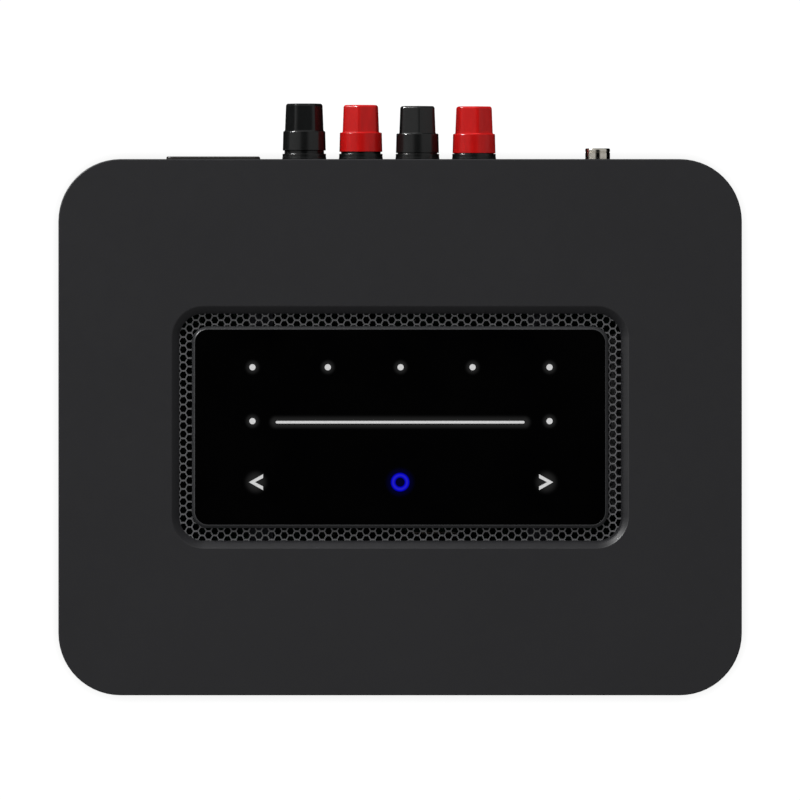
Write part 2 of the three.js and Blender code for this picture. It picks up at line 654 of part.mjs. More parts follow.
// A 3.5 mm socket. way is 1 when its barrel points rearwards and -1 when it points forwards.
function roundJack(x, z, face, shoulder, way) {
  const { half, barrel, hole, depth, bottom, top } = JACK;
  const between = (a, b) => [a, b].sort((p, q) => p - q);
  const body = block(x - half, x + half, ...between(shoulder - way * depth, shoulder), z - bottom, z + top);
  const collar = rod(barrel, ...between(shoulder - way, face), x, z);
  return join(body, collar).subtract(rod(hole, ...between(shoulder - way * (depth - 2), face + way), x, z));
}

// ---- Speaker posts -----------------------------------------------------------------------------------

function postCollar(x) {
  const { radius, end, spigot, spigotEnd, boss, bossStart, bore } = COLLAR;
  const face = PANEL_FACE + GAP;
  const profile = [
    [bore, bossStart],
    [boss, bossStart],
    [boss, face],
    [radius, face],
    [radius, end - 0.3],
    [radius - 0.3, end],
    [spigot, end],
    [spigot, spigotEnd],
    [bore, spigotEnd],
  ];
  return turned(profile, x, POST_Z);
}

// The metal stud: a socket for a banana plug in its end, and a cross hole for bare wire near the collar.
function postStud(x) {
  const { radius, start, end, bore, boreStart, wireHole, nut, boardFace } = STUD;
  const shoulder = COLLAR.bossStart - GAP;
  const profile = [
    [0, start],
    [radius, start],
    [radius, start + 0.8],
    [nut, start + 0.8],
    [nut, boardFace],
    [radius, boardFace],
    [radius, shoulder - 1.4],
    [nut, shoulder - 1.4],
    [nut, shoulder],
    [radius, shoulder],
    [radius, end - 0.4],
    [radius - 0.4, end],
    [bore, end],
    [bore, boreStart],
    [0, boreStart],
  ];
  const crossHole = solid(
    new THREE.CylinderGeometry(wireHole, wireHole, 3 * radius, 8)
      .rotateX(Math.PI / 2)
      .translate(x, COLLAR.end + 3.2, POST_Z),
  );
  return turned(profile, x, POST_Z, 12).subtract(crossHole);
}

function postWasher(x) {
  const { inner, outer, start, thickness } = WASHER;
  const profile = [
    [inner, start],
    [outer, start],
    [outer, start + thickness],
    [inner, start + thickness],
  ];
  return turned(profile, x, POST_Z, 12);
}

// One ring of the knob's grip: a hexagon with clipped corners, as twelve points.
function gripRing(flats, corners, turn) {
  const clip = Math.acos(flats / corners);
  return Array.from({ length: 12 }, (_, i) => {
    const angle = turn + Math.floor(i / 2) * (Math.PI / 3) + (i % 2 ? clip : -clip);
    return new THREE.Vector2(corners * Math.sin(angle), corners * Math.cos(angle));
  });
}

// The tapering hexagonal grip, lofted through rings of twelve points.
function grip(x, turn, stations) {
  const positions = [];
  const index = [];
  for (const { y, flats, corners } of stations)
    for (const point of gripRing(flats, corners, turn)) positions.push(x + point.x, y, POST_Z + point.y);
  const last = (stations.length - 1) * 12;
  for (let s = 0; s < last; s += 12)
    for (let i = 0; i < 12; i++) {
      const [a, b] = [s + i, s + ((i + 1) % 12)];
      index.push(a, b, a + 12, b, b + 12, a + 12);
    }
  for (let i = 1; i < 11; i++) index.push(0, i + 1, i, last, last + i, last + i + 1);
  const geometry = new THREE.BufferGeometry();
  geometry.setAttribute("position", new THREE.BufferAttribute(new Float32Array(positions), 3));
  geometry.setIndex(index);
  return solid(geometry);
}

function postKnob(x, turnDeg) {
  const { start, skirtStart, skirtEnd, shoulder, cavity, cavityDepth, bore, endWall, endHole } = KNOB;
  const skirt = turned(
    [
      [0, start],
      [skirtStart, start],
      [skirtEnd, shoulder - 0.4],
      [skirtEnd - 0.5, shoulder],
      [0, shoulder],
    ],
    x,
    POST_Z,
  );
  const { flats, corners, flatsEnd, cornersEnd } = KNOB;
  const head = grip(x, THREE.MathUtils.degToRad(turnDeg), [
    { y: shoulder - 1, flats, corners },
    { y: POST_END - 0.7, flats: flatsEnd, corners: cornersEnd },
    { y: POST_END, flats: flatsEnd - 0.7, corners: cornersEnd - 0.7 },
  ]);
  const hollow = [
    rod(cavity, start - 1, start + cavityDepth, x, POST_Z, 16),
    rod(bore, start, POST_END - endWall, x, POST_Z),
    rod(endHole, POST_END - 4, POST_END + 1, x, POST_Z),
  ];
  return cut(skirt.add(head), ...hollow);
}

// ---- Assembly ----------------------------------------------------------------------------------------

const finish = (color, roughness, metalness = 0) =>
  new THREE.MeshStandardMaterial({ color, roughness, metalness });
const FINISHES = {
  casing: finish(0x2c2c2e, 0.55),
  band: finish(0x101012, 0.2),
  panel: finish(0x1c1c1d, 0.6, 0.4),
  rubber: finish(0x151515, 0.9),
  steel: finish(0x9a9a9e, 0.35, 1),
  grille: finish(0x3a3a3c, 0.45, 0.6),
  bezel: finish(0x38383b, 0.4),
  glass: finish(0x020202, 0.06),
  diffuser: finish(0xe8e8e8, 0.4),
  blue: finish(0x1616c8, 0.4),
  circuit: finish(0x0f3a24, 0.6),
  cable: finish(0xd8d8d2, 0.6),
  aluminium: finish(0xa8a9ac, 0.4, 1),
  ferrite: finish(0x2a2826, 0.7),
  sleeve: finish(0x14161c, 0.35),
  shield: finish(0xb8b8bc, 0.3, 1),
  socket: finish(0x161617, 0.55),
  nickel: finish(0xb8b2a4, 0.2, 1),
  gold: finish(0xd0a858, 0.22, 1),
  black: finish(0x171818, 0.3),
  red: finish(0xb81c1c, 0.3),
};

const receiver = new THREE.Group();

function add(name, made, material) {
  const mesh = new THREE.Mesh(surface(made), FINISHES[material]);
  mesh.name = name;
  receiver.add(mesh);
}

add("top_shell", topShell(), "casing");
add("bottom_shell", bottomShell(), "casing");
add("seam_band", seamBand(), "band");
add("rear_panel", rearPanel(), "panel");
for (const [place, sx, sy] of CORNERS) {
  add(`foot_${place}`, foot(sx, sy), "rubber");
  add(`case_screw_${place}`, caseScrew(sx, sy), "steel");
}

add("vent_grille", ventGrille(), "grille");
add("panel_bezel", panelBezel(), "bezel");
add("touch_glass", touchGlass(), "glass");
add("icon_light_guide", iconLightGuide(), "diffuser");
add("play_ring_guide", playRingGuide(), "blue");
add("touch_board", touchBoard(), "circuit");
add("touch_ribbon", touchRibbon(), "cable");

add("main_board", mainBoard(), "circuit");
add("power_board", powerBoard(), "circuit");
add("audio_board", audioBoard(), "circuit");
add("terminal_board", terminalBoard(), "circuit");
add("heatsink", heatsink(), "aluminium");
add("transformer", transformer(), "ferrite");
add("bulk_capacitor_front", bulkCapacitor(8), "sleeve");
add("bulk_capacitor_rear", bulkCapacitor(29), "sleeve");
add("output_inductor_left", outputInductor(4), "ferrite");
add("output_inductor_right", outputInductor(22), "ferrite");
add("radio_module", radioModule(), "shield");
add("antenna_left", antenna(-1), "circuit");
add("antenna_right", antenna(1), "circuit");

add("mains_inlet", mainsInlet(), "socket");
for (const [name, [dx, dz]] of Object.entries(PIN_PLACES))
  add(`mains_pin_${name}`, pinBlade(dx, dz), "nickel");
add("phono_shell", phonoShell(), "nickel");
add("phono_insulator", phonoInsulator(), "socket");
add("lan_jack", lanJack(), "shield");
add("hdmi_jack", hdmiJack(), "shield");
add("usb_jack", usbJack(), "shield");
add("audio_in_jack", roundJack(AUDIO_IN_X, UPPER_ROW_Z, JACK_FACE, PANEL_BACK - GAP, 1), "socket");
add("ir_in_jack", roundJack(IR_IN_X, UPPER_ROW_Z, JACK_FACE, PANEL_BACK - GAP, 1), "socket");
add("headphone_jack", roundJack(HEADPHONE.x, HEADPHONE.z, FRONT + 0.3, FRONT + WALL + 0.3, -1), "socket");

POST_X.forEach((x, i) => {
  const post = `post_${i + 1}`;
  const unscrewed = [0, POST_OUT[i], 0];
  add(`${post}_collar`, postCollar(x), "black");
  add(`${post}_stud`, postStud(x), "gold");
  add(`${post}_washer`, postWasher(x).translate(unscrewed), "gold");
  add(`${post}_knob`, postKnob(x, POST_TURN_DEG[i]).translate(unscrewed), POST_COLOURS[i]);
});

// The origin is the centre of the whole object's footprint, on the surface that it stands on.
receiver.position.set(0, -POST_REACH / 2, 0);
const assembly = new THREE.Group();
assembly.add(receiver);

export default assembly;
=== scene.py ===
"""The looks of a compact bluetooth audio receiver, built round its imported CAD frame."""

import math

import bmesh
import bpy
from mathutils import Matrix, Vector


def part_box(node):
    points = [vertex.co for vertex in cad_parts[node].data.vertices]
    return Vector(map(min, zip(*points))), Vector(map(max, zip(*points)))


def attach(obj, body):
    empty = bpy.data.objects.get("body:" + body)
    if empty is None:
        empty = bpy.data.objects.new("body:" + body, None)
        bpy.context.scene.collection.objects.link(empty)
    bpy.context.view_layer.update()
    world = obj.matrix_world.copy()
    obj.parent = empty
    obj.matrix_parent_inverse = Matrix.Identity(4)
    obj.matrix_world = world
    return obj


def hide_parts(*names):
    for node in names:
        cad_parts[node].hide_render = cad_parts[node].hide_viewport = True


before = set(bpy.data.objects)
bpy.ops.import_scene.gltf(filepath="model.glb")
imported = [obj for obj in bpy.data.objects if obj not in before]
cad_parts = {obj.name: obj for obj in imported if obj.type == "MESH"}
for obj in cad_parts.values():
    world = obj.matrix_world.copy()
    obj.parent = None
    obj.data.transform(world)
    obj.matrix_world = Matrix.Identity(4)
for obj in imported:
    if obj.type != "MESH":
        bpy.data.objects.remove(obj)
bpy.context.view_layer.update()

# ---- Sizes, in millimetres and in the frame's own axes ----

MM = 0.001


def node_box(name):
    """The lowest and highest corner of a CAD node, in millimetres."""
    lo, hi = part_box(name)
    return Vector(lo) / MM, Vector(hi) / MM


def node_middle(name):
    lo, hi = node_box(name)
    return (lo + hi) / 2


SHELL_LO, SHELL_HI = node_box("top_shell")
BASE_LO, BASE_HI = node_box("bottom_shell")
MID = (SHELL_LO + SHELL_HI) / 2
TOP, REAR, FRONT = SHELL_HI.z, SHELL_HI.y, SHELL_LO.y
HERE = (MID.x, MID.y)

# Outlines are (width, depth, corner radius).
BODY = (SHELL_HI.x - SHELL_LO.x, REAR - FRONT, 20)
WALL = 2.5
CEILING = TOP - WALL
FLOOR = BASE_LO.z
SEAM_BOTTOM = BASE_HI.z
SEAM_TOP = 36.4
TOP_FILLET = 0.45
BOTTOM_FILLET = 4
SEAM_FILLET = 0.45
BODY_STEPS = 14
SEAM_BREAK = 91.5  # half of the gap that the band leaves for the rear panel

VENT_COLUMNS = range(-48, 49, 12)
VENT_ROW = -5
VENT_MOUTH = (3.8, 50.8, 1.89)
VENT_SLOT = (3, 50, 1.49)
SCREW_PLACES = [(sx * 92, MID.y + sy * 66) for sx in (-1, 1) for sy in (-1, 1)]
SCREW_TURNS = 40
STAND_OFFS = [(x, MID.y + y) for x in (-96, -22, 2, 96) for y in (-40, 30)]

RECESS = (147, 77.9, 10.2)
RECESS_LEAN = 2.5
LIP_BOTTOM = 66.9
LIP_MARGIN = 3
RIM = 0.2

GRILLE_LO, GRILLE_HI = node_box("vent_grille")
GRILLE = (150, 81, 11)
CELL_PITCH = (2.0338, 2.7185)  # between columns, and between the cells of a column
CELL_ORIGIN = (68.45, -13.1)  # the middle of one cell
CELL_POINT = 1.36  # from a cell's middle to its left and right corner
CELL_WALL = (0.38, 0.52)  # of the slanted bars, and of the level ones
CELL_COLUMNS = range(-72, 6)
CELL_ROWS = range(-12, 22)
CELL_LIMIT = (75, 41)  # cells whose middles lie further out aren't drawn

BEZEL_LO, BEZEL_HI = node_box("panel_bezel")
BEZEL = (134.1, 64.9, 5.2)
GLASS_LO, GLASS_HI = node_box("touch_glass")
GLASS = (132, 62.7, 4.2)
WINDOW_GAP = 0.03

DOT_RADIUS = 0.97
DOT_ROW = 19.3
DOT_COLUMNS = [-47.54, -23.28, 0.15, 23.32, 48.1]
VOLUME_ROW = 1.95
NEXT_SHIFT = 0.6  # the forward arrow sits this much further out than the back arrow
SLIDER = (80.1, 0.8, 1.6)  # length, width and place
SKIP_ROW = -17.7
CHEVRON = dict(tip=48.65, arm=44.15, rise=2.55, stroke=1.2, notch=1.9)
PLAY_RING = (1.42, 3.05)
PLAY_PLACE = (MID.x, MID.y + SKIP_ROW)
PLAY_HUB = 4.5
GUIDE_PLATE = (124, 55, 2)

PANEL_LO, PANEL_HI = node_box("rear_panel")
OPENING = (177, 48, 3)
OPENING_MIDDLE = (0, 36)
INLET_LO, INLET_HI = node_box("mains_inlet")
INLET = node_middle("mains_inlet")

POST_X = [node_middle(f"post_{i}_stud").x for i in (1, 2, 3, 4)]
POST_Z = node_middle("post_1_stud").z
POST_TURN = [4, 22, 37, -15]
COLLAR_LO, COLLAR_HI = node_box("post_1_collar")
COLLAR_END = REAR + 2.05
COLLAR_RADIUS = 7.1
COLLAR_LIP = 7.02
COLLAR_BOSS = 4.8
COLLAR_BORE = 3.3
SPIGOT_RADIUS = 6.4
SHOULDER = 6.25  # from the start of a knob
SHOULDER_RADIUS = 6.8
SKIRT_RADIUS = 6.95
GRIP_FLATS = (5.65, 0.33)  # at the shoulder, and the loss towards the end
GRIP_CORNERS = (6.27, 0.35)
KNOB_CAVITY = (6.55, 2.6)  # radius and depth
KNOB_BORE = 3.3
KNOB_MOUTH = 2.4
DOME = [math.radians(angle) for angle in range(10, 91, 10)]
DOME_RADIUS = 0.8
STUD_RADIUS = 2.95
STUD_SOCKET = 2.05
STUD_NUT = 4.4
WASHER = (3.25, 6)

UPPER_ROW = 45
HEADPHONE_Z = 19
PHONO_PLACE = (node_middle("phono_shell").x, UPPER_ROW)
PINS = ("live", "neutral", "earth")
REAR_JACKS = ("audio_in_jack", "ir_in_jack")
MARK_HEIGHT = 0.06
MARK_RISE = 11  # from a post up to its sign
JACK_MARK = (5.2, 5.6)
PHONO_MARK = (6.4, 6.8)

# ---- Light and camera ----

# name, azimuth from +X, elevation, distance and size in metres, watts, and what the lamp leaves out
LAMPS = [
    ("key", 102, 27, 2.4, 1.0, 52, "visible_glossy"),
    ("side", 150, 20, 1.6, 0.5, 8, "visible_glossy"),
    ("glint", 135, 8, 1.5, 0.22, 70, "visible_diffuse"),
    ("fill", -70, 50, 1.8, 1.0, 1.0, None),
]
SKY_FADE = (0.88, 0.985)  # heights between which the sky goes dark
SKY_STRENGTH = 0.6
FLOOR_RADIUS = 4000
CAMERA_DISTANCE = 7158
CAMERA_SHIFT = (-0.04, -0.4)
FRAME_WIDTH = 257.5


# ---- Mesh helpers ----


def linked(name, data):
    """A new object of the scene that shows a mesh, a light or a camera."""
    made = bpy.data.objects.new(name, data)
    bpy.context.scene.collection.objects.link(made)
    return made


def mesh_object(name, points, faces):
    """A new object from points in millimetres, with its faces turned outwards."""
    mesh = bpy.data.meshes.new(name)
    mesh.from_pydata([[MM * c for c in point] for point in points], [], faces)
    made = bmesh.new()
    made.from_mesh(mesh)
    bmesh.ops.remove_doubles(made, verts=made.verts, dist=1e-7)
    bmesh.ops.recalc_face_normals(made, faces=made.faces)
    made.to_mesh(mesh)
    made.free()
    return linked(name, mesh)


def loft(name, rings, closed=False):
    """A skin over rings of equal count, with its two ends capped or joined to each other."""
    count = len(rings[0])
    faces = []
    for r in range(len(rings) if closed else len(rings) - 1):
        a, b = r * count, (r + 1) % len(rings) * count
        faces += [(a + i, a + (i + 1) % count, b + (i + 1) % count, b + i) for i in range(count)]
    if not closed:
        last = (len(rings) - 1) * count
        faces += [tuple(range(count)), tuple(range(last, last + count))]
    return mesh_object(name, [point for ring in rings for point in ring], faces)


def station(outline, along, at=(0, 0), axis="z"):
    """An outline at one place along an axis. The outline is drawn across the axis, about at."""
    a, b = at
    if axis == "z":
        return [(a + u, b + v, along) for u, v in outline]
    if axis == "y":
        return [(a + u, along, b + v) for u, v in outline]
    return [(along, a + u, b + v) for u, v in outline]


def stack(name, stations, at=(0, 0), axis="z", closed=False):
    """A skin over (outline, along) stations."""
    return loft(name, [station(outline, along, at, axis) for outline, along in stations], closed)


def circle(radius, count=48):
    angles = [math.tau * i / count for i in range(count)]
    return [(radius * math.cos(angle), radius * math.sin(angle)) for angle in angles]


def rounded(size, inset=0, steps=6):
    """A rectangle with round corners about the origin, as points going round it."""
    width, height, radius = size
    radius = max(radius - inset, 0.05)
    x, y = width / 2 - inset - radius, height / 2 - inset - radius
    points = []
    for quarter, (cx, cy) in enumerate([(x, y), (-x, y), (-x, -y), (x, -y)]):
        for i in range(steps + 1):
            angle = (quarter + i / steps) * math.pi / 2
            points.append((cx + radius * math.cos(angle), cy + radius * math.sin(angle)))
    return points


def fillet(start, end, corner, steps=4):
    """A quarter of an ellipse from start to end, which bulges towards corner."""
    middle = [s + e - c for s, e, c in zip(start, end, corner)]
    points = []
    for i in range(steps + 1):
        angle = i / steps * math.pi / 2
        parts = zip(middle, start, end)
        points.append(tuple(m + (s - m) * math.cos(angle) + (e - m) * math.sin(angle) for m, s, e in parts))
    return points


def contour(name, profile, closed=True, steps=BODY_STEPS):
    """A skin over (size, inset, z) outlines about the middle of the casing."""
    return stack(name, [(rounded(size, inset, steps), z) for size, inset, z in profile], HERE, closed=closed)


def turned(name, profile, at, axis="y", count=48, closed=True):
    """A (radius, along) profile turned about an axis. It closes on itself or is capped at its ends."""
    return stack(name, [(circle(radius, count), along) for radius, along in profile], at, axis, closed)


def slab(name, outline, start, end, at=(0, 0), axis="z"):
    return stack(name, [(outline, start), (outline, end)], at, axis)


def block(name, lo, hi):
    """A box between two corners, which is always bevelled, joined or cut away afterwards."""
    half = [(hi[i] - lo[i]) / 2 for i in (0, 1)]
    outline = [(-half[0], -half[1]), (half[0], -half[1]), (half[0], half[1]), (-half[0], half[1])]
    return slab(name, outline, lo[2], hi[2], (lo[0] + half[0], lo[1] + half[1]))


def applied(piece):
    """Works a piece's modifiers into its mesh."""
    bpy.context.view_layer.update()
    evaluated = piece.evaluated_get(bpy.context.evaluated_depsgraph_get())
    mesh = bpy.data.meshes.new_from_object(evaluated)
    plain = piece.data
    piece.modifiers.clear()
    piece.data = mesh
    bpy.data.meshes.remove(plain)
    return piece


def joined(name, pieces):
    """Several separate solids as one object."""
    made = bmesh.new()
    for piece in pieces:
        made.from_mesh(piece.data)
        bpy.data.objects.remove(piece)
    mesh = bpy.data.meshes.new(name)
    made.to_mesh(mesh)
    made.free()
    return linked(name, mesh)


def carve(piece, cutters, operation="DIFFERENCE"):
    """Cuts, adds or keeps what lies in the cutters, which don't touch each other."""
    cutter = joined("cutter", cutters)
    change = piece.modifiers.new("carve", "BOOLEAN")
    change.operation, change.solver, change.object = operation, "EXACT", cutter
    applied(piece)
    bpy.data.objects.remove(cutter)
    return piece


def bevel(piece, width, segments=2, angle=40):
    change = piece.modifiers.new("bevel", "BEVEL")
    change.width, change.segments = width * MM, segments
    change.limit_method, change.angle_limit = "ANGLE", math.radians(angle)
    return applied(piece)


def place(piece, finish, *nodes, slot=None, body="receiver", angle=32):
    """Shades a piece, gives it its finish, and lets it ride on a body in place of CAD nodes."""
    slot = slot or finish
    piece.data.shade_smooth()
    piece.data.set_sharp_from_angle(angle=math.radians(angle))
    change = piece.modifiers.new("normals", "WEIGHTED_NORMAL")
    change.keep_sharp = True
    applied(piece)
    piece.data.materials.clear()
    piece.data.materials.append(FINISHES[finish])
    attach(piece, body)
    if nodes:
        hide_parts(*nodes)
    return piece


# ---- Finishes ----


class Tree:
    """A node tree, with short calls for making and feeding its nodes."""

    def __init__(self, owner):
        owner.use_nodes = True
        self.nodes = owner.node_tree.nodes
        self.links = owner.node_tree.links

    def add(self, kind, inputs=None, **settings):
        node = self.nodes.new(kind)
        for key, value in settings.items():
            setattr(node, key, value)
        for key, value in (inputs or {}).items():
            self.feed(node.inputs[key], value)
        return node

    def feed(self, socket, value):
        if isinstance(value, bpy.types.NodeSocket):
            self.links.new(value, socket)
        else:
            socket.default_value = value

    def math(self, operation, a, b=0.0):
        return self.add("ShaderNodeMath", {0: a, 1: b}, operation=operation).outputs[0]

    def vector(self, operation, a, b, output=0):
        return self.add("ShaderNodeVectorMath", {0: a, 1: b}, operation=operation).outputs[output]

    def mix(self, share, a, b, blend="MIX"):
        inputs = {0: share, 6: a, 7: b}
        return self.add("ShaderNodeMix", inputs, data_type="RGBA", blend_type=blend).outputs[2]


class Finish(Tree):
    """A material, with short calls for what every finish uses."""

    def __init__(self, name):
        self.material = bpy.data.materials.new(name)
        super().__init__(self.material)
        self.shader = self.nodes["Principled BSDF"]
        self.place = self.add("ShaderNodeTexCoord").outputs["Object"]

    def set(self, **values):
        """Feeds the shader's sockets, whose names are written with underscores."""
        for key, value in values.items():
            self.feed(self.shader.inputs[key.replace("_", " ")], value)

    def noise(self, size, detail=3, stretch=(1, 1, 1)):
        """Noise with features of a size in millimetres."""
        at = self.vector("MULTIPLY", self.place, stretch)
        inputs = {"Vector": at, "Scale": 1 / (size * MM), "Detail": detail, "Roughness": 0.55}
        return self.add("ShaderNodeTexNoise", inputs).outputs[0]

    def spread(self, value, low, high, start=0.3, end=0.7):
        """A value between start and end, spread over low to high."""
        inputs = {"Value": value, "From Min": start, "From Max": end, "To Min": low, "To Max": high}
        return self.add("ShaderNodeMapRange", inputs).outputs[0]

    def tint(self, value, colours):
        """A value from 0 to 1 turned into one of several colours, evenly spaced."""
        ramp = self.add("ShaderNodeValToRGB", {"Fac": value})
        stops = ramp.color_ramp.elements
        while len(stops) < len(colours):
            stops.new(0.5)
        for i, colour in enumerate(colours):
            stops[i].position = i / (len(colours) - 1)
            stops[i].color = (*colour, 1)
        return ramp.outputs["Color"]

    def bump(self, height, depth):
        """A bump of a depth in millimetres."""
        inputs = {"Strength": 1.0, "Distance": depth * MM, "Height": height}
        return self.add("ShaderNodeBump", inputs).outputs["Normal"]

    def distance(self, x, y):
        """How far the surface lies from a point of the panel, seen from above."""
        flat = self.vector("MULTIPLY", self.place, (1, 1, 0))
        return self.vector("DISTANCE", flat, panel_point(x, y), "Value")


def panel_point(x, y):
    """A point of the panel, from the middle of the glass, as a shader reads it."""
    return (MID.x + x) * MM, (MID.y + y) * MM, 0


def shades(colour, contrast):
    """A darker and a lighter shade of a colour."""
    return [tuple(c * (1 - contrast) for c in colour), tuple(c * (1 + contrast) for c in colour)]


def moulded(name, colour, roughness, grain, depth, contrast, specular):
    """Plastic or paint with a fine moulded grain, slow drifts of tone and faintly polished patches."""
    finish = Finish(name)
    broad, fine = finish.noise(40, 2), finish.noise(grain, 4)
    tone = finish.math("ADD", finish.math("MULTIPLY", broad, 0.2), finish.math("MULTIPLY", fine, 0.8))
    finish.set(
        Base_Color=finish.tint(finish.spread(tone, 0, 1), shades(colour, contrast)),
        Roughness=finish.spread(finish.noise(3, 4), roughness - 0.02, roughness + 0.03),
        Normal=finish.bump(fine, depth),
        Specular_IOR_Level=specular,
    )
    return finish.material


def metal(name, colour, roughness, stretch, depth):
    """Plated or drawn metal, with tool marks along one way and a faint tarnish."""
    finish = Finish(name)
    marks = finish.noise(0.25, 4, stretch)
    tarnish = finish.noise(5)
    finish.set(
        Base_Color=finish.tint(finish.spread(tarnish, 0, 1), shades(colour, 0.1)),
        Metallic=1.0,
        Roughness=finish.spread(finish.noise(2.2), roughness - 0.04, roughness + 0.06),
        Normal=finish.bump(marks, depth),
    )
    return finish.material


def glossy(name, colour, specular):
    """Shiny knob plastic, with faint flow marks along the knob and a little rubbing."""
    finish = Finish(name)
    flow = finish.noise(1.6, 3, (1, 0.3, 1))
    rub = finish.noise(0.5, 4, (1, 3, 1))
    finish.set(
        Base_Color=finish.tint(finish.spread(flow, 0, 1), shades(colour, 0.07)),
        Roughness=finish.spread(rub, 0.2, 0.28),
        Normal=finish.bump(finish.math("ADD", flow, finish.math("MULTIPLY", rub, 0.2)), 0.006),
        Specular_IOR_Level=specular,
    )
    return finish.material


def circuit(name):
    """Green solder mask with darker copper runs under it and small bright pads."""
    finish = Finish(name)
    inputs = {"Vector": finish.place, "Scale": 1 / (9 * MM), "Color1": (0, 0, 0, 1), "Color2": (1, 1, 1, 1)}
    runs = finish.add("ShaderNodeTexBrick", {**inputs, "Mortar Size": 0.03}).outputs["Fac"]
    cells = finish.add("ShaderNodeTexVoronoi", {"Vector": finish.place, "Scale": 1 / (3.1 * MM)})
    pads = finish.spread(cells.outputs["Distance"], 1, 0, 0.1, 0.13)
    mask = finish.tint(finish.spread(finish.noise(6), 0, 1), [(0.006, 0.045, 0.02), (0.01, 0.075, 0.03)])
    copper = finish.mix(runs, mask, (0.012, 0.11, 0.04, 1))
    finish.set(
        Base_Color=finish.mix(pads, copper, (0.55, 0.53, 0.48, 1)),
        Metallic=pads,
        Roughness=finish.spread(finish.noise(1.5), 0.35, 0.5),
        Normal=finish.bump(finish.math("ADD", runs, pads), 0.03),
    )
    return finish.material


def icon_points():
    """Middles of the round icons, from the middle of the glass."""
    return [(x, DOT_ROW) for x in DOT_COLUMNS] + [(DOT_COLUMNS[i], VOLUME_ROW) for i in (0, -1)]


def panel_glass(name):
    """Black glass with faint smears, and a painted glow in it round the icons, where their light spreads a
    little way.
    """
    finish = Finish(name)

    # painted glow: the glass's emission falls off with the distance from an icon's edge
    def painted_halo(away, edge, reach):
        inputs = {"Value": away, "From Min": edge * MM, "From Max": (edge + reach) * MM}
        inputs.update({"To Min": 1, "To Max": 0})
        return finish.add("ShaderNodeMapRange", inputs, interpolation_type="SMOOTHERSTEP").outputs[0]

    reach = (SLIDER[0] / 2) * MM
    flat = finish.vector("MULTIPLY", finish.place, (1, 1, 0))
    slide = finish.vector("SUBTRACT", flat, panel_point(0, SLIDER[2]))
    held = finish.vector("MAXIMUM", slide, (-reach, 0, 0))
    held = finish.vector("MINIMUM", held, (reach, 0, 0))
    along = finish.vector("MULTIPLY", held, (1, 0, 0))

    painted_glow = painted_halo(finish.vector("DISTANCE", slide, along, "Value"), 0.2, 2.6)
    for x, y in icon_points():
        painted_glow = finish.math("MAXIMUM", painted_glow, painted_halo(finish.distance(x, y), DOT_RADIUS * 0.6, 2.4))
    for side in (-1, 1):
        arrow = side * (CHEVRON["tip"] + CHEVRON["arm"]) / 2 + max(side, 0) * NEXT_SHIFT
        painted_glow = finish.math("MAXIMUM", painted_glow, painted_halo(finish.distance(arrow, SKIP_ROW), 1, 3.6))
    # painted blue glow in the glass round the play ring
    blue = painted_halo(finish.distance(0, SKIP_ROW), PLAY_RING[1] - 0.6, 3)
    smears = finish.spread(finish.noise(30), 0, 1)
    painted_white_glow = finish.tint(painted_glow, [(0, 0, 0), (0.016, 0.016, 0.016)])
    painted_blue_glow = finish.tint(blue, [(0, 0, 0), (0.0, 0.0, 0.018)])
    finish.set(
        Base_Color=finish.tint(smears, [(0.0004, 0.0004, 0.0005), (0.0009, 0.0009, 0.0009)]),
        Roughness=finish.spread(finish.noise(18, 5), 0.035, 0.075),
        Normal=finish.bump(finish.noise(40, 1), 0.004),
        Specular_IOR_Level=0.45,
        Emission_Color=finish.mix(1.0, painted_white_glow, painted_blue_glow, "ADD"),
        Emission_Strength=1.0,
    )
    return finish.material


def lit_white(name):
    """The white diffuser, brightest where it comes up through the glass."""
    finish = Finish(name)
    clouds = finish.spread(finish.noise(0.5), 0, 1)
    finish.set(
        Base_Color=finish.tint(clouds, [(0.1, 0.1, 0.1), (0.13, 0.13, 0.13)]),
        Roughness=finish.spread(finish.noise(1.0), 0.35, 0.5),
        Normal=finish.bump(finish.noise(0.3), 0.005),
        Emission_Color=finish.tint(clouds, [(0.44, 0.44, 0.44), (0.52, 0.52, 0.52)]),
        Emission_Strength=1.0,
    )
    return finish.material


def lit_blue(name):
    """The blue diffuser of the play ring, paler along the middle of the ring."""
    finish = Finish(name)
    across = finish.spread(finish.distance(0, SKIP_ROW), 0, 1, PLAY_RING[0] * MM, PLAY_RING[1] * MM)
    edge, body, core = (0.0, 0.0, 0.16), (0.0, 0.0, 0.6), (0.02, 0.016, 0.43)
    clouds = finish.spread(finish.noise(0.4), 0, 1)
    finish.set(
        Base_Color=finish.tint(clouds, [(0.001, 0.001, 0.01), (0.002, 0.002, 0.014)]),
        Roughness=finish.spread(finish.noise(1.0), 0.7, 0.8),
        Specular_IOR_Level=0.02,
        Normal=finish.bump(finish.noise(0.3), 0.005),
        Emission_Color=finish.tint(across, [edge, body, core, body, edge]),
        Emission_Strength=1.0,
    )
    return finish.material


def ribbon_cable(name):
    """A flat cable with its conductors side by side."""
    finish = Finish(name)
    inputs = {"Vector": finish.place, "Scale": 0.16 / MM}
    lines = finish.add("ShaderNodeTexWave", inputs, bands_direction="X").outputs["Fac"]
    finish.set(
        Base_Color=finish.tint(lines, [(0.028, 0.024, 0.02), (0.05, 0.034, 0.02)]),
        Roughness=finish.spread(finish.noise(2), 0.35, 0.5),
        Normal=finish.bump(lines, 0.05),
    )
    return finish.material


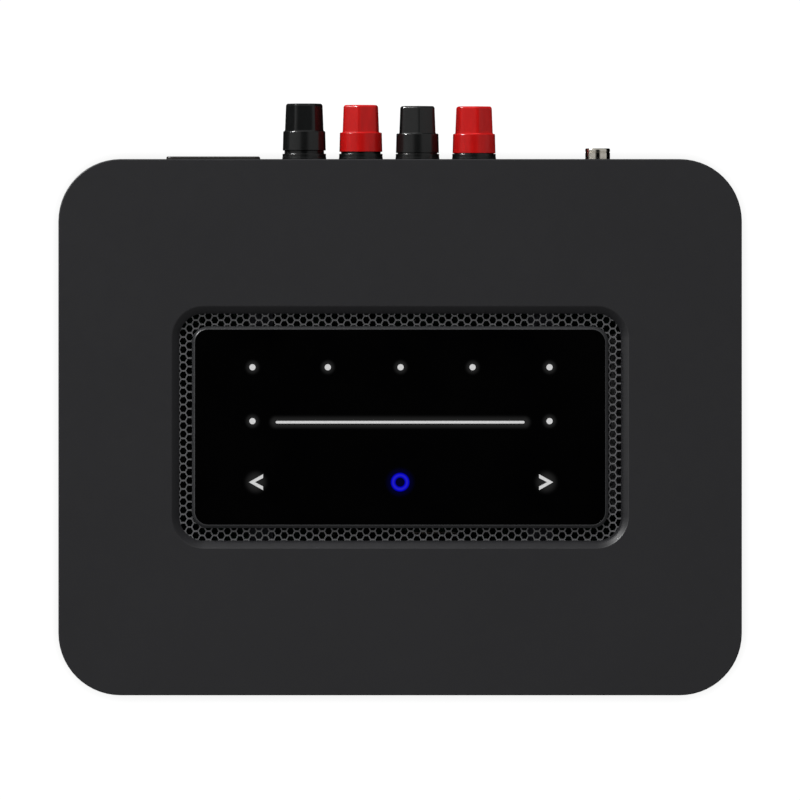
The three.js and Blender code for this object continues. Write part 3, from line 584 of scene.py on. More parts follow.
# name: colour, roughness, size of the grain, depth of the grain, contrast, gloss
MOULDED = {
    "casing": ((0.0152, 0.0152, 0.0166), 0.5, 0.4, 0.012, 0.14, 0.2),
    "band": ((0.006, 0.006, 0.007), 0.24, 0.35, 0.004, 0.12, 0.5),
    "panel": ((0.014, 0.014, 0.0145), 0.5, 0.25, 0.01, 0.12, 0.3),
    "rubber": ((0.011, 0.011, 0.011), 0.82, 0.5, 0.03, 0.25, 0.2),
    "socket": ((0.02, 0.0185, 0.017), 0.42, 0.3, 0.01, 0.12, 0.3),
    "bezel": ((0.024, 0.0245, 0.026), 0.42, 0.3, 0.005, 0.08, 0.4),
    "ink": ((0.42, 0.42, 0.42), 0.6, 0.2, 0.004, 0.06, 0.3),
    "ferrite": ((0.022, 0.02, 0.018), 0.7, 0.8, 0.05, 0.25, 0.3),
    "sleeve": ((0.008, 0.009, 0.015), 0.34, 1.2, 0.01, 0.12, 0.5),
    "grille": ((0.105, 0.105, 0.109), 0.42, 0.3, 0.006, 0.1, 0.5),
}
# name: colour, roughness, stretch and depth of the tool marks
METALS = {
    "steel": ((0.3, 0.3, 0.31), 0.34, (1, 1, 0.2), 0.004),
    "aluminium": ((0.5, 0.5, 0.51), 0.38, (1, 0.05, 1), 0.01),
    "shield": ((0.56, 0.56, 0.57), 0.28, (1, 0.1, 1), 0.004),
    "nickel": ((0.6, 0.57, 0.5), 0.13, (0.4, 3, 0.4), 0.003),
    "gold": ((0.83, 0.56, 0.22), 0.18, (0.4, 3, 0.4), 0.003),
}
FINISHES = {name: moulded(name, *values) for name, values in MOULDED.items()}
FINISHES.update({name: metal(name, *values) for name, values in METALS.items()})
FINISHES["knob_black"] = glossy("knob_black", (0.0052, 0.0056, 0.0056), 0.35)
FINISHES["knob_red"] = glossy("knob_red", (0.45, 0.006, 0.0055), 0.2)
FINISHES["circuit"] = circuit("circuit")
FINISHES["glass"] = panel_glass("glass")
FINISHES["diffuser"] = lit_white("diffuser")
FINISHES["play_light"] = lit_blue("play_light")
FINISHES["cable"] = ribbon_cable("cable")


# ---- Casing ----


def rear_opening():
    """What the opening in the rear wall takes away, a little wider at the outside."""
    deep, flare = REAR - 3.2 * WALL, 0.35
    plain, wide = rounded(OPENING), rounded(OPENING, -flare)
    stations = [(plain, deep), (plain, REAR - flare), (wide, REAR), (wide, REAR + 1)]
    return stack("opening", stations, OPENING_MIDDLE, "y")


def casing_top():
    """The top shell: a rounded plate with side walls, and the sloped recess with the lip over the grille."""
    slope = (TOP - LIP_BOTTOM) / RECESS_LEAN
    seam = fillet((SEAM_FILLET, SEAM_TOP), (0, SEAM_TOP + SEAM_FILLET), (0, SEAM_TOP))
    edge = fillet((0, TOP - TOP_FILLET), (TOP_FILLET, TOP), (0, TOP), 5)
    rim = fillet((-RIM, TOP), (0.25, TOP - 0.25 * slope), (0, TOP), 6)
    profile = [(BODY, *point) for point in seam + edge] + [(RECESS, *point) for point in rim]
    profile += [
        (RECESS, RECESS_LEAN - 0.12, LIP_BOTTOM + 0.15),
        (RECESS, RECESS_LEAN - 0.1, LIP_BOTTOM),
        (RECESS, -LIP_MARGIN, LIP_BOTTOM),
        (RECESS, -LIP_MARGIN, CEILING),
        (BODY, WALL, CEILING),
        (BODY, WALL, SEAM_TOP),
    ]
    return carve(contour("casing_top", profile), [rear_opening()])


def casing_bottom():
    """The bottom shell: a tray with a rounded lower edge, vents, screw wells and the headphone hole."""
    under = fillet((BOTTOM_FILLET, FLOOR), (0, FLOOR + BOTTOM_FILLET), (0, FLOOR), 7)
    seam = fillet((0, SEAM_BOTTOM - SEAM_FILLET), (SEAM_FILLET, SEAM_BOTTOM), (0, SEAM_BOTTOM))
    inside = [(WALL, SEAM_BOTTOM), (WALL, FLOOR + WALL + 1), (WALL + 1, FLOOR + WALL)]
    tray = contour("casing_bottom", [(BODY, *point) for point in under + seam + inside], closed=False)
    cutters = [rear_opening()]
    well = [(3.7, FLOOR - 1), (3.7, FLOOR), (3.1, FLOOR + 0.6), (3.1, FLOOR + 3.1), (1.7, FLOOR + 3.1)]
    for screw in SCREW_PLACES:
        cutters.append(turned("well", [*well, (1.7, 9)], screw, "z", closed=False))
    mouth, slot = rounded(VENT_MOUTH), rounded(VENT_SLOT)
    vent = [(mouth, FLOOR - 1), (mouth, FLOOR), (slot, FLOOR + 0.4), (slot, FLOOR + WALL + 1)]
    cutters += [stack("vent", vent, (x, MID.y + VENT_ROW)) for x in VENT_COLUMNS]
    jack = node_middle("headphone_jack")
    hole = [(4.7, FRONT - 1), (4.7, FRONT), (4.2, FRONT + 0.5), (4.2, FRONT + WALL + 1)]
    cutters.append(turned("hole", hole, (jack.x, HEADPHONE_Z), "y", closed=False))
    return carve(tray, cutters)


def casing_posts():
    """Screw bosses of both shells and the stand-offs that carry the boards."""
    pieces = []
    for screw in SCREW_PLACES:
        lower = [(1.7, FLOOR + WALL), (5, FLOOR + WALL), (5, 33.0), (4.7, 33.4), (1.7, 33.4)]
        upper = [(1.7, CEILING), (5, CEILING), (5, 34.3), (4.7, 33.9), (1.7, 33.9)]
        pieces += [turned("boss", profile, screw, "z", 32) for profile in (lower, upper)]
    profile = [(1, FLOOR + WALL), (2.5, FLOOR + WALL), (2.3, 11.6), (2.1, 11.9), (1, 11.9)]
    pieces += [turned("stand_off", profile, at, "z", 24) for at in STAND_OFFS]
    return joined("casing_posts", pieces)


def seam_strip():
    """The glossy band set back in the seam, with the flange that lines up the shells."""
    outer, middle, inner = 1.5, WALL + 0.2, WALL + 1.7
    low, high, reach = SEAM_BOTTOM + 0.1, SEAM_TOP - 0.1, 3.6
    points = [(outer + 0.2, low), (outer, low + 0.2), (outer, high - 0.2), (outer + 0.2, high)]
    points += [(middle, high), (middle, high + reach), (inner, high + reach)]
    points += [(inner, low - reach), (middle, low - reach), (middle, low)]
    strip = contour("seam_strip", [(BODY, *point) for point in points])
    return carve(strip, [block("gap", (-SEAM_BREAK, REAR - 12, 0), (SEAM_BREAK, REAR + 1, TOP))])


def foot(name, at):
    """A rubber foot with a rolled rim and rings moulded in its sole, held by a spigot."""
    profile = [(0.4, 0.35), (2, 0.35), (2.2, 0.1), (4.6, 0.1), (4.8, 0.4), (5.4, 0.4), (5.6, 0.1), (8.2, 0.0)]
    profile += fillet((8.9, 0), (10, 1.1), (10, 0))
    profile += [(10, 2.5), (9.7, 2.9), (2.4, 2.9), (2.4, 6.6), (2.0, 7)]
    return turned(name, profile, at, "z", 64, closed=False)


def case_screw(name, at):
    """A long case screw: a pan head with a six-lobed drive and a coarse thread up its shank."""
    profile = [(2.2, 3.6), (2.6, 3.75), (2.8, 4.1), (2.8, 5.8), (1.4, 5.8)]
    for i in range(SCREW_TURNS):
        z = 8 + i
        profile += [(1.2, z), (1.4, z + 0.35), (1.4, z + 0.5), (1.2, z + 0.85)]
    profile += [(1.1, 49.2), (0.3, 50)]
    screw = turned(name, profile, at, "z", 24, closed=False)
    drive = [(0.95 + 0.3 * math.cos(6 * a), a) for a in (math.tau * i / 48 for i in range(48))]
    outline = [(r * math.cos(a), r * math.sin(a)) for r, a in drive]
    return carve(screw, [slab("drive", outline, 3.0, 4.8, at)])


def build_casing():
    place(casing_top(), "casing", "top_shell")
    place(casing_bottom(), "casing", "bottom_shell")
    place(casing_posts(), "casing")
    place(seam_strip(), "band", "seam_band")
    for side in ("front_left", "front_right", "rear_left", "rear_right"):
        middle = node_middle(f"foot_{side}")
        place(foot(f"rubber_{side}", (middle.x, middle.y)), "rubber", f"foot_{side}")
        middle = node_middle(f"case_screw_{side}")
        place(case_screw(f"screw_{side}", (middle.x, middle.y)), "steel", f"case_screw_{side}")


# ---- Grille and touch panel ----


def cell_corners(wall=(0, 0)):
    """Corners of one grille cell about its middle, drawn in by half of each bar's width."""
    column, row = CELL_PITCH
    slant, level = wall[0] / 2, wall[1] / 2
    flat = column - CELL_POINT
    run = CELL_POINT - flat
    steep = math.hypot(run, row / 2)
    point = CELL_POINT - slant * steep / (row / 2)
    rise = row / 2 - level
    corner = point - rise * run / (row / 2)
    return [(point, 0), (corner, rise), (-corner, rise), (-point, 0), (-corner, -rise), (corner, -rise)]


def honeycomb():
    """The vent grille: a sheet pierced by one lattice of six-sided cells, cut to the gap round the panel."""
    column, row = CELL_PITCH
    outer, inner = cell_corners(), cell_corners(CELL_WALL)
    points, faces = [], []
    for i in CELL_COLUMNS:
        x = CELL_ORIGIN[0] + i * column
        for j in CELL_ROWS:
            y = CELL_ORIGIN[1] + (j + (i % 2) / 2) * row
            across = max(abs(x) - BEZEL[0] / 2, abs(y) - BEZEL[1] / 2)
            if across < -2 or abs(x) > CELL_LIMIT[0] or abs(y) > CELL_LIMIT[1]:
                continue
            first = len(points)
            points += station(outer + inner, GRILLE_LO.z, (MID.x + x, MID.y + y))
            corners = [(first + k, first + (k + 1) % 6) for k in range(6)]
            faces += [(a, b, b + 6, a + 6) for a, b in corners]
    sheet = mesh_object("honeycomb", points, faces)
    made = bmesh.new()
    made.from_mesh(sheet.data)
    bmesh.ops.remove_doubles(made, verts=made.verts, dist=2e-6)
    raised = bmesh.ops.extrude_face_region(made, geom=made.faces[:])["geom"]
    lifted = [item for item in raised if isinstance(item, bmesh.types.BMVert)]
    bmesh.ops.translate(made, verts=lifted, vec=(0, 0, (GRILLE_HI.z - GRILLE_LO.z) * MM))
    bmesh.ops.recalc_face_normals(made, faces=made.faces)
    made.to_mesh(sheet.data)
    made.free()
    low, high = GRILLE_LO.z - 1, GRILLE_HI.z + 1
    edge = RECESS_LEAN - 1.1
    ring = [(RECESS, edge, low), (RECESS, edge, high), (BEZEL, -0.06, high), (BEZEL, -0.06, low)]
    carve(sheet, [contour("keep", ring, steps=8)], "INTERSECT")
    border = [(RECESS, edge, GRILLE_LO.z), (RECESS, edge, GRILLE_HI.z)]
    border += [(GRILLE, 0, GRILLE_HI.z), (GRILLE, 0, GRILLE_LO.z)]
    return joined("honeycomb", [sheet, contour("border", border, steps=8)])


def bezel_frame():
    """The raised frame round the glass, with a broad slope on the outside."""
    low, high = BEZEL_LO.z, BEZEL_HI.z
    outer = [(0, high - 1.25), (0.05, high - 1.05), (0.14, high - 0.9)]
    outer += [(0.72, high - 0.14), (0.84, high - 0.03), (0.95, high)]
    inner = [(-0.08, high), (-0.05, high - 0.04)]
    seat, inside = GLASS_LO.z - 0.1, 1.6
    profile = [(BEZEL, *point) for point in [(0, low)] + outer] + [(GLASS, *point) for point in inner]
    profile += [(GLASS, -0.05, seat), (GLASS, inside, seat), (GLASS, inside, low)]
    return contour("bezel_frame", profile, steps=12)


def bezel_ears():
    """The four ears that reach from the frame to the casing, in the dark under the grille."""
    pieces, low = [], BEZEL_LO.z
    near, far = BEZEL[1] / 2, GRILLE[1] / 2 - 1
    for x in (-45, 45):
        for y in (near, -far):
            lo = (x - 4, MID.y + y, low)
            pieces.append(bevel(block("ear", lo, (x + 4, lo[1] + far - near, low + 2)), 0.3))
    return joined("bezel_ears", pieces)


def chevron(side, grow=0.0):
    """One skip arrow as an outline. side is -1 for back and 1 for forward."""
    tip, arm, stroke = CHEVRON["tip"], CHEVRON["arm"] - grow, CHEVRON["stroke"] + grow
    rise, notch = CHEVRON["rise"] + grow, tip - CHEVRON["notch"] - grow
    points = [(tip + grow, 0), (arm, rise), (arm, rise - stroke), (notch, 0)]
    points += [(arm, stroke - rise), (arm, -rise)]
    return [(side * x + max(side, 0) * NEXT_SHIFT, SKIP_ROW + y) for x, y in points]


def icon_solids(low, high, grow=0.0):
    """Every white icon as a solid between two heights."""
    length, width, row = SLIDER
    dot = circle(DOT_RADIUS + grow, 40)
    bar = rounded((length + 2 * grow, width + 2 * grow, width / 2 + grow - 0.01))
    dots = [slab("dot", dot, low, high, (MID.x + x, MID.y + y)) for x, y in icon_points()]
    arrows = [slab("arrow", chevron(side, grow), low, high, HERE) for side in (-1, 1)]
    return [*dots, slab("bar", bar, low, high, (MID.x, MID.y + row)), *arrows]


def glass_sheet():
    """The black glass, with its edge just broken and a window over each icon."""
    low, high = GLASS_LO.z, GLASS_HI.z
    profile = [(GLASS, 0, low), (GLASS, 0, high - 0.02), (GLASS, 0.02, high)]
    sheet = contour("glass_sheet", profile, closed=False)
    inner, outer = PLAY_RING[0] - WINDOW_GAP, PLAY_RING[1] + WINDOW_GAP
    ring = [(inner, low - 1), (outer, low - 1), (outer, high + 1), (inner, high + 1)]
    window = turned("window", ring, PLAY_PLACE, "z", 64)
    return carve(sheet, [window, *icon_solids(low - 1, high + 1, WINDOW_GAP)])


def icon_lights():
    """The white diffuser: a plate under the glass whose tips fill the windows."""
    low, high = node_box("icon_light_guide")
    top = low.z + 1
    plate = slab("icon_lights", rounded(GUIDE_PLATE), low.z, top, HERE)
    hub = PLAY_HUB + 0.3
    carve(plate, [turned("hub", [(hub, low.z - 1), (hub, top + 1)], PLAY_PLACE, "z", closed=False)])
    return carve(plate, icon_solids(top - 0.5, high.z), "UNION")


def ring_light():
    """The blue diffuser of the play ring: a hub with a raised ring."""
    low, high = node_box("play_ring_guide")
    inner, outer = PLAY_RING
    profile = [(inner, low.z), (PLAY_HUB, low.z), (PLAY_HUB, low.z + 1), (outer, low.z + 1)]
    profile += [(outer, high.z - 0.1), (outer - 0.1, high.z), (inner + 0.1, high.z), (inner, high.z - 0.1)]
    return turned("ring_light", profile, PLAY_PLACE, "z", 64)


def build_panel():
    place(honeycomb(), "grille", "vent_grille")
    place(bezel_frame(), "bezel", "panel_bezel")
    # painted shade: the bezel's ears take the dark sleeve finish, not the bezel's, so they look shaded under
    # the grille
    place(bezel_ears(), "sleeve", slot="bezel")
    place(glass_sheet(), "glass", "touch_glass")
    place(icon_lights(), "diffuser", "icon_light_guide")
    place(ring_light(), "play_light", "play_ring_guide")


# ---- Speaker posts ----


def hexagon(flats, corners, turn, count=72):
    """A hexagon with softly rounded corners: half its width across flats and across corners."""
    points, sharpness = [], 50
    for i in range(count):
        angle = math.tau * i / count
        facet = (angle + math.pi / 6) % (math.pi / 3) - math.pi / 6
        reach = ((flats / math.cos(facet)) ** -sharpness + corners**-sharpness) ** (-1 / sharpness)
        points.append((reach * math.sin(angle + turn), reach * math.cos(angle + turn)))
    return points


def post_knob(name, node, x, turn_degrees):
    """A clamp knob: a round skirt, a stepped shoulder, and a tapering six-sided grip with a domed end."""
    turn = math.radians(turn_degrees)
    start, end = (corner.y for corner in node_box(node))
    shoulder = start + SHOULDER
    cavity, depth = KNOB_CAVITY

    def ring(radius):
        return hexagon(radius * 2, radius, turn)

    def grip(shrink, along):
        taper = (along - shoulder) / (end - shoulder)
        flats, corners = (size - loss * taper - shrink for size, loss in (GRIP_FLATS, GRIP_CORNERS))
        return hexagon(flats, corners, turn), along

    mouth = [(KNOB_BORE, end - 1.6), (KNOB_MOUTH, end - 1.6), (KNOB_MOUTH, end - 0.35), (2.7, end - 0.05)]
    broad, skirt = SHOULDER_RADIUS, SKIRT_RADIUS
    step = fillet((broad - 0.35, shoulder), (broad, shoulder - 0.35), (broad, shoulder), 6)
    hem = fillet((skirt, start + 0.12), (skirt - 0.1, start), (skirt, start), 3)
    inside = [(cavity, start), (cavity, start + depth), (KNOB_BORE, start + depth)]
    stations = [(ring(radius), y) for radius, y in mouth + [(3.6, end)]]
    stations += [grip(DOME_RADIUS * (1 - math.sin(a)), end - DOME_RADIUS * (1 - math.cos(a))) for a in DOME]
    stations += [grip(0, shoulder + 0.4), grip(-0.05, shoulder + 0.15), grip(-0.15, shoulder)]
    stations += [(ring(radius), y) for radius, y in step + hem + inside]
    return stack(name, stations, (x, POST_Z), "y", closed=True)


def post_collar(name, x):
    """The insulating collar of a post, with a boss through the panel and a spigot into the knob."""
    start, face, end, tip = COLLAR_LO.y, PANEL_HI.y + 0.1, COLLAR_END, COLLAR_HI.y
    profile = [(COLLAR_BORE, start), (COLLAR_BOSS, start), (COLLAR_BOSS, face), (COLLAR_RADIUS, face)]
    profile += [(COLLAR_RADIUS, end - 1.2), (COLLAR_LIP, end - 1.1)]
    profile += fillet((COLLAR_LIP, end - 0.14), (6.9, end), (COLLAR_LIP, end), 3)
    profile += [(SPIGOT_RADIUS, end), (SPIGOT_RADIUS, tip - 0.2), (SPIGOT_RADIUS - 0.2, tip)]
    profile += [(COLLAR_BORE + 0.2, tip), (COLLAR_BORE, tip - 0.2)]
    return turned(name, profile, (x, POST_Z), count=64)


def post_stud(name, x):
    """The metal stud: a banana socket in its end, a screw thread outside, and a cross hole for bare wire."""
    low, high = node_box("post_1_stud")
    shoulder = COLLAR_LO.y - 0.1
    board = node_box("terminal_board")[0].y - 0.4
    count, pitch, depth, steps_per_turn = 32, 1.0, 0.28, 8
    thread_start, thread_end = COLLAR_HI.y + 0.35, high.y - 0.5
    plain = [(STUD_RADIUS, low.y), (STUD_RADIUS, low.y + 0.8), (STUD_NUT, low.y + 0.8), (STUD_NUT, board)]
    plain += [(STUD_RADIUS, board), (STUD_RADIUS, shoulder - 1.4), (STUD_NUT, shoulder - 1.4)]
    plain += [(STUD_NUT, shoulder), (STUD_RADIUS, shoulder), (STUD_RADIUS, thread_start - 0.4)]
    bore = [(2.5, high.y), (STUD_SOCKET + 0.1, high.y), (STUD_SOCKET, high.y - 0.15)]
    bore += [(STUD_SOCKET, PANEL_HI.y), (0.3, PANEL_HI.y - 0.8)]

    def thread(along):
        points = []
        for i in range(count):
            angle = math.tau * i / count
            radius = STUD_RADIUS - depth / 2 * (1 - math.cos(math.tau * along / pitch + angle))
            points.append((radius * math.cos(angle), radius * math.sin(angle)))
        return points, along

    steps = int((thread_end - thread_start) / pitch * steps_per_turn)
    stations = [(circle(radius, count), along) for radius, along in plain]
    stations += [thread(thread_start + i * pitch / steps_per_turn) for i in range(steps + 1)]
    stations += [(circle(radius, count), along) for radius, along in bore]
    stud = stack(name, stations, (x, POST_Z), "y")
    wire_hole = circle(1.5, 24)
    return carve(stud, [slab("hole", wire_hole, POST_Z - 5, POST_Z + 5, (x, COLLAR_END + 3.2))])


def post_washer(name, node, x):
    """A loose plated washer, with its edges broken."""
    start, end = (corner.y for corner in node_box(node))
    (inner, outer), edge = WASHER, 0.15
    profile = [(inner, start + edge), (inner + edge, start), (outer - edge, start), (outer, start + edge)]
    profile += [(outer, end - edge), (outer - edge, end), (inner + edge, end), (inner, end - edge)]
    return turned(name, profile, (x, POST_Z), count=48)


def build_posts():
    for i, (x, turn) in enumerate(zip(POST_X, POST_TURN), 1):
        post = f"post_{i}"
        washer, knob = f"{post}_washer", f"{post}_knob"
        finish = "knob_black" if i % 2 else "knob_red"
        place(post_collar(f"collar_{i}", x), "knob_black", f"{post}_collar")
        place(post_stud(f"stud_{i}", x), "gold", f"{post}_stud")
        place(post_washer(f"washer_ring_{i}", washer, x), "gold", washer, body=f"washer_{i}")
        place(post_knob(f"grip_{i}", knob, x, turn), finish, knob, body=f"knob_{i}", angle=14)


# ---- Rear panel and sockets ----


def window(node, margin=0.3):
    """What the panel loses to let a square socket through."""
    lo, hi = node_box(node)
    start = (lo.x - margin, PANEL_LO.y - 1, lo.z - margin)
    return block("window", start, (hi.x + margin, PANEL_HI.y + 1, hi.z + margin))


def rear_plate():
    """The rear panel with a hole for each post and socket."""
    size = (PANEL_HI.x - PANEL_LO.x, PANEL_HI.z - PANEL_LO.z, 1)
    middle = ((PANEL_LO.x + PANEL_HI.x) / 2, (PANEL_LO.z + PANEL_HI.z) / 2)
    plate = slab("rear_plate", rounded(size), PANEL_LO.y, PANEL_HI.y, middle, "y")
    cutters = [window(node) for node in ("lan_jack", "hdmi_jack", "usb_jack")]
    body = rounded((28, 20.2, 1.7))
    cutters.append(slab("hole", body, PANEL_LO.y - 1, PANEL_HI.y + 1, (INLET.x, INLET.z), "y"))
    rounds = [(5.1, x, POST_Z) for x in POST_X] + [(3.2, *PHONO_PLACE)]
    rounds += [(4.1, node_middle(jack).x, UPPER_ROW) for jack in REAR_JACKS]
    for radius, x, z in rounds:
        profile = [(radius, PANEL_LO.y - 1), (radius, PANEL_HI.y + 1)]
        cutters.append(turned("hole", profile, (x, z), closed=False))
    return bevel(carve(plate, cutters), 0.15, 2, 60)


def polarity_marks():
    """A raised plus over each red post and a minus over each black one, and a ring round each jack."""
    pieces, half, reach = [], 0.3, 1.5
    low, high = PANEL_HI.y, PANEL_HI.y + MARK_HEIGHT
    minus = [(-reach, -half), (reach, -half), (reach, half), (-reach, half)]
    plus = [(-reach, -half), (-half, -half), (-half, -reach), (half, -reach), (half, -half), (reach, -half)]
    plus += [(-u, -v) for u, v in plus]
    for i, x in enumerate(POST_X):
        pieces.append(slab("mark", plus if i % 2 else minus, low, high, (x, POST_Z + MARK_RISE), "y"))
    rings = [((node_middle(jack).x, UPPER_ROW), JACK_MARK) for jack in REAR_JACKS]
    for at, (inner, outer) in [*rings, (PHONO_PLACE, PHONO_MARK)]:
        profile = [(inner, low), (outer, low), (outer, high), (inner, high)]
        pieces.append(turned("mark", profile, at, count=64))
    return joined("polarity_marks", pieces)


def inlet_mouth(inset=0.0):
    """The inlet's mouth: a rectangle with its two lower corners cut off."""
    side, rise, cut = 12 - inset, 8 - inset, 4.5 - 0.4 * inset
    left = [(-side, rise), (-side, cut - rise), (cut - side, -rise)]
    return left + [(side - cut, -rise), (side, cut - rise), (side, rise)]


def mains_inlet():
    at = (INLET.x, INLET.z)
    face, front = PANEL_HI.y + 0.1, INLET_HI.y
    flange = (INLET_HI.x - INLET_LO.x, INLET_HI.z - INLET_LO.z, 2)
    body = (27.4, 19.6, 1.5)
    stations = [(rounded(body, 0.3), INLET_LO.y), (rounded(body), INLET_LO.y + 0.3), (rounded(body), face)]
    stations += [(rounded(flange), face), (rounded(flange), front - 0.45)]
    edge = fillet((0, front - 0.4), (0.4, front), (0, front), 3)
    stations += [(rounded(flange, inset), y) for inset, y in edge]
    socket = stack("inlet", stations, at, "y")
    back = front - 16.4
    plain, wide = inlet_mouth(), inlet_mouth(-0.5)
    mouth = [(plain, back), (plain, front - 0.6), (wide, front), (wide, front + 1)]
    carve(socket, [stack("mouth", mouth, at, "y")])
    slots, gap = [], 0.15
    for pin in PINS:
        lo, hi = node_box(f"mains_pin_{pin}")
        start = (lo.x - gap, lo.y - gap, lo.z - gap)
        slots.append(block("slot", start, (hi.x + gap, back + 1, hi.z + gap)))
    return carve(socket, slots)


def mains_pin(name, node):
    """A flat blade with a rounded tip."""
    lo, hi = node_box(node)
    at = ((lo.x + hi.x) / 2, (lo.z + hi.z) / 2)
    size = (hi.x - lo.x, hi.z - lo.z, 0.35)
    foot_end = fillet((0.8, lo.y), (0, lo.y + 0.5), (0, lo.y), 2)
    tip = fillet((0, hi.y - 1.6), (0.85, hi.y), (0, hi.y), 5)
    return stack(name, [(rounded(size, inset), y) for inset, y in foot_end + tip], at, "y")


def phono_barrel():
    """The phono socket's barrel, with its base ring."""
    face, end = PANEL_HI.y + 0.1, node_box("phono_shell")[1].y
    profile = [(3.4, face), (5.4, face)] + fillet((5.4, face + 0.8), (5.0, face + 1.2), (5.4, face + 1.2), 3)
    profile += [(4.15, face + 1.2), (4, face + 1.35), (4, end - 1.5), (3.86, end - 1.4), (3.86, end - 1.1)]
    profile += [(4, end - 1.0)] + fillet((4, end - 0.45), (3.7, end), (4, end), 3)
    return turned("phono_barrel", profile + [(3.5, end), (3.4, end - 0.12)], PHONO_PLACE, count=72)


def phono_bush():
    """The insulating bush in the barrel, with the housing behind the panel that it grows from."""
    (lo, hi), back = node_box("phono_insulator"), PANEL_LO.y - 0.1
    housing = bevel(block("phono_bush", (lo.x, lo.y, lo.z), (hi.x, back, hi.z)), 0.3)
    bore = [(1.6, back - 8), (1.6, hi.y + 1)]
    carve(housing, [turned("bore", bore, PHONO_PLACE, closed=False)])
    sleeve = [(1.6, back), (2.9, back), (2.9, hi.y - 0.2), (2.7, hi.y), (1.9, hi.y), (1.6, hi.y - 0.3)]
    return joined("phono_bush", [housing, turned("sleeve", sleeve, PHONO_PLACE)])


def phono_contact():
    """The sprung sleeve inside the bush that grips the plug's pin."""
    start, end = PANEL_LO.y - 6, node_box("phono_insulator")[1].y - 0.5
    profile = [(1.2, start), (1.55, start), (1.55, end), (1.4, end + 0.1), (1.2, end)]
    return turned("phono_contact", profile, PHONO_PLACE, count=32)


def lan_pieces():
    """The network socket: a folded metal shell, a plastic insert with a latch notch, and eight contacts."""
    lo, hi = node_box("lan_jack")
    middle, wall = (lo.x + hi.x) / 2, 0.35
    size = (hi.x - lo.x, hi.z - lo.z, 0.6)
    at = (middle, (lo.z + hi.z) / 2)
    shell = slab("lan_shell", rounded(size), lo.y, hi.y, at, "y")
    carve(shell, [slab("hollow", rounded(size, wall), lo.y + wall, hi.y + 1, at, "y")])
    insert = slab("lan_insert", rounded(size, wall + 0.02), lo.y + wall + 0.02, hi.y - 0.35, at, "y")
    back = hi.y - 13
    mouth = block("mouth", (middle - 5.9, back, lo.z + 3.4), (middle + 5.9, hi.y + 1, hi.z - 1.6))
    notch = block("notch", (middle - 3, back, lo.z + 1.2), (middle + 3, hi.y + 1, lo.z + 4))
    carve(mouth, [notch], "UNION")
    carve(insert, [mouth])
    contacts = []
    for i in range(8):
        x = middle + (i - 3.5) * 1.02
        line = [(-0.9, 0), (-2.2, -0.9), (-9.0, -3.4), (-9.0, -3.7), (-2.0, -1.25), (-0.9, -0.35)]
        contacts.append(slab("wire", line, x - 0.17, x + 0.17, (hi.y - 0.6, hi.z - 1.65), "x"))
    return shell, insert, joined("lan_contacts", contacts)


def tongue_pieces(name, node, wall, inset, tongue, pins, cut=0.0):
    """A stamped shell round a contact tongue. cut is how much its two lower corners lose."""
    lo, hi = node_box(node)
    half, rise = (hi.x - lo.x) / 2, (hi.z - lo.z) / 2
    at = ((lo.x + hi.x) / 2, (lo.z + hi.z) / 2)

    def outline(by):
        side, high, chop = half - by, rise - by, max(cut - 0.4 * by, 0.3)
        corner = 0.35
        upper = [(side, high - corner), (side - corner, high), (corner - side, high), (-side, high - corner)]
        lower = [(-side, chop - high), (chop - side, -high), (side - chop, -high), (side, chop - high)]
        return upper + lower

    shell = slab(f"{name}_shell", outline(0), lo.y, hi.y, at, "y")
    plain, wide = outline(wall), outline(wall - 0.2)
    hollow = [(plain, lo.y + 2), (plain, hi.y - 0.3), (wide, hi.y), (wide, hi.y + 1)]
    carve(shell, [stack("hollow", hollow, at, "y")])
    low, high = lo.z + tongue[0], lo.z + tongue[1]
    blade = block(f"{name}_tongue", (lo.x + inset, lo.y + 2, low), (hi.x - inset, hi.y - 1, high))
    contacts, run = [], (hi.x - lo.x - 2 * inset) - 1.2
    for i in range(pins):
        x = lo.x + inset + 0.6 + run * (i + 0.5) / pins
        width = 0.3 * run / pins
        lower = (x - width, lo.y + 3, low - 0.08)
        contacts.append(bevel(block("pin", lower, (x + width, hi.y - 1.5, low)), 0.03, 1))
    return shell, bevel(blade, 0.15), joined(f"{name}_contacts", contacts)


def round_jack(name, node, x, z, way):
    """A 3.5 mm socket: a moulded body with a round nose. way is 1 for rearwards and -1 for forwards."""
    lo, hi = node_box(node)
    face, back = (hi.y, lo.y) if way > 0 else (lo.y, hi.y)
    shoulder = PANEL_LO.y - 0.1 if way > 0 else FRONT + WALL + 0.3
    near, far = sorted((back, shoulder))
    body = bevel(block(name, (lo.x, near, lo.z), (hi.x, far, hi.z)), 0.35)
    bore = [(1.8, back + 2 * way), (1.8, face + way)]
    carve(body, [turned("bore", bore, (x, z), closed=False)])
    nose = [(1.8, shoulder), (3.8, shoulder)]
    nose += fillet((3.8, face - 0.35 * way), (3.45, face), (3.8, face), 3)
    nose += [(2.7, face), (2.7, face - 0.4 * way), (1.8, face - 0.4 * way)]
    return joined(name, [body, turned("nose", nose, (x, z))])


def jack_ring(name, x, z, face, way):
    """The metal ring round a jack's mouth."""
    profile = [(1.8, face - 0.4 * way), (2.65, face - 0.4 * way), (2.65, face - 0.1 * way), (2.5, face)]
    profile += [(2.0, face), (1.8, face - 0.25 * way)]
    return turned(name, profile, (x, z))


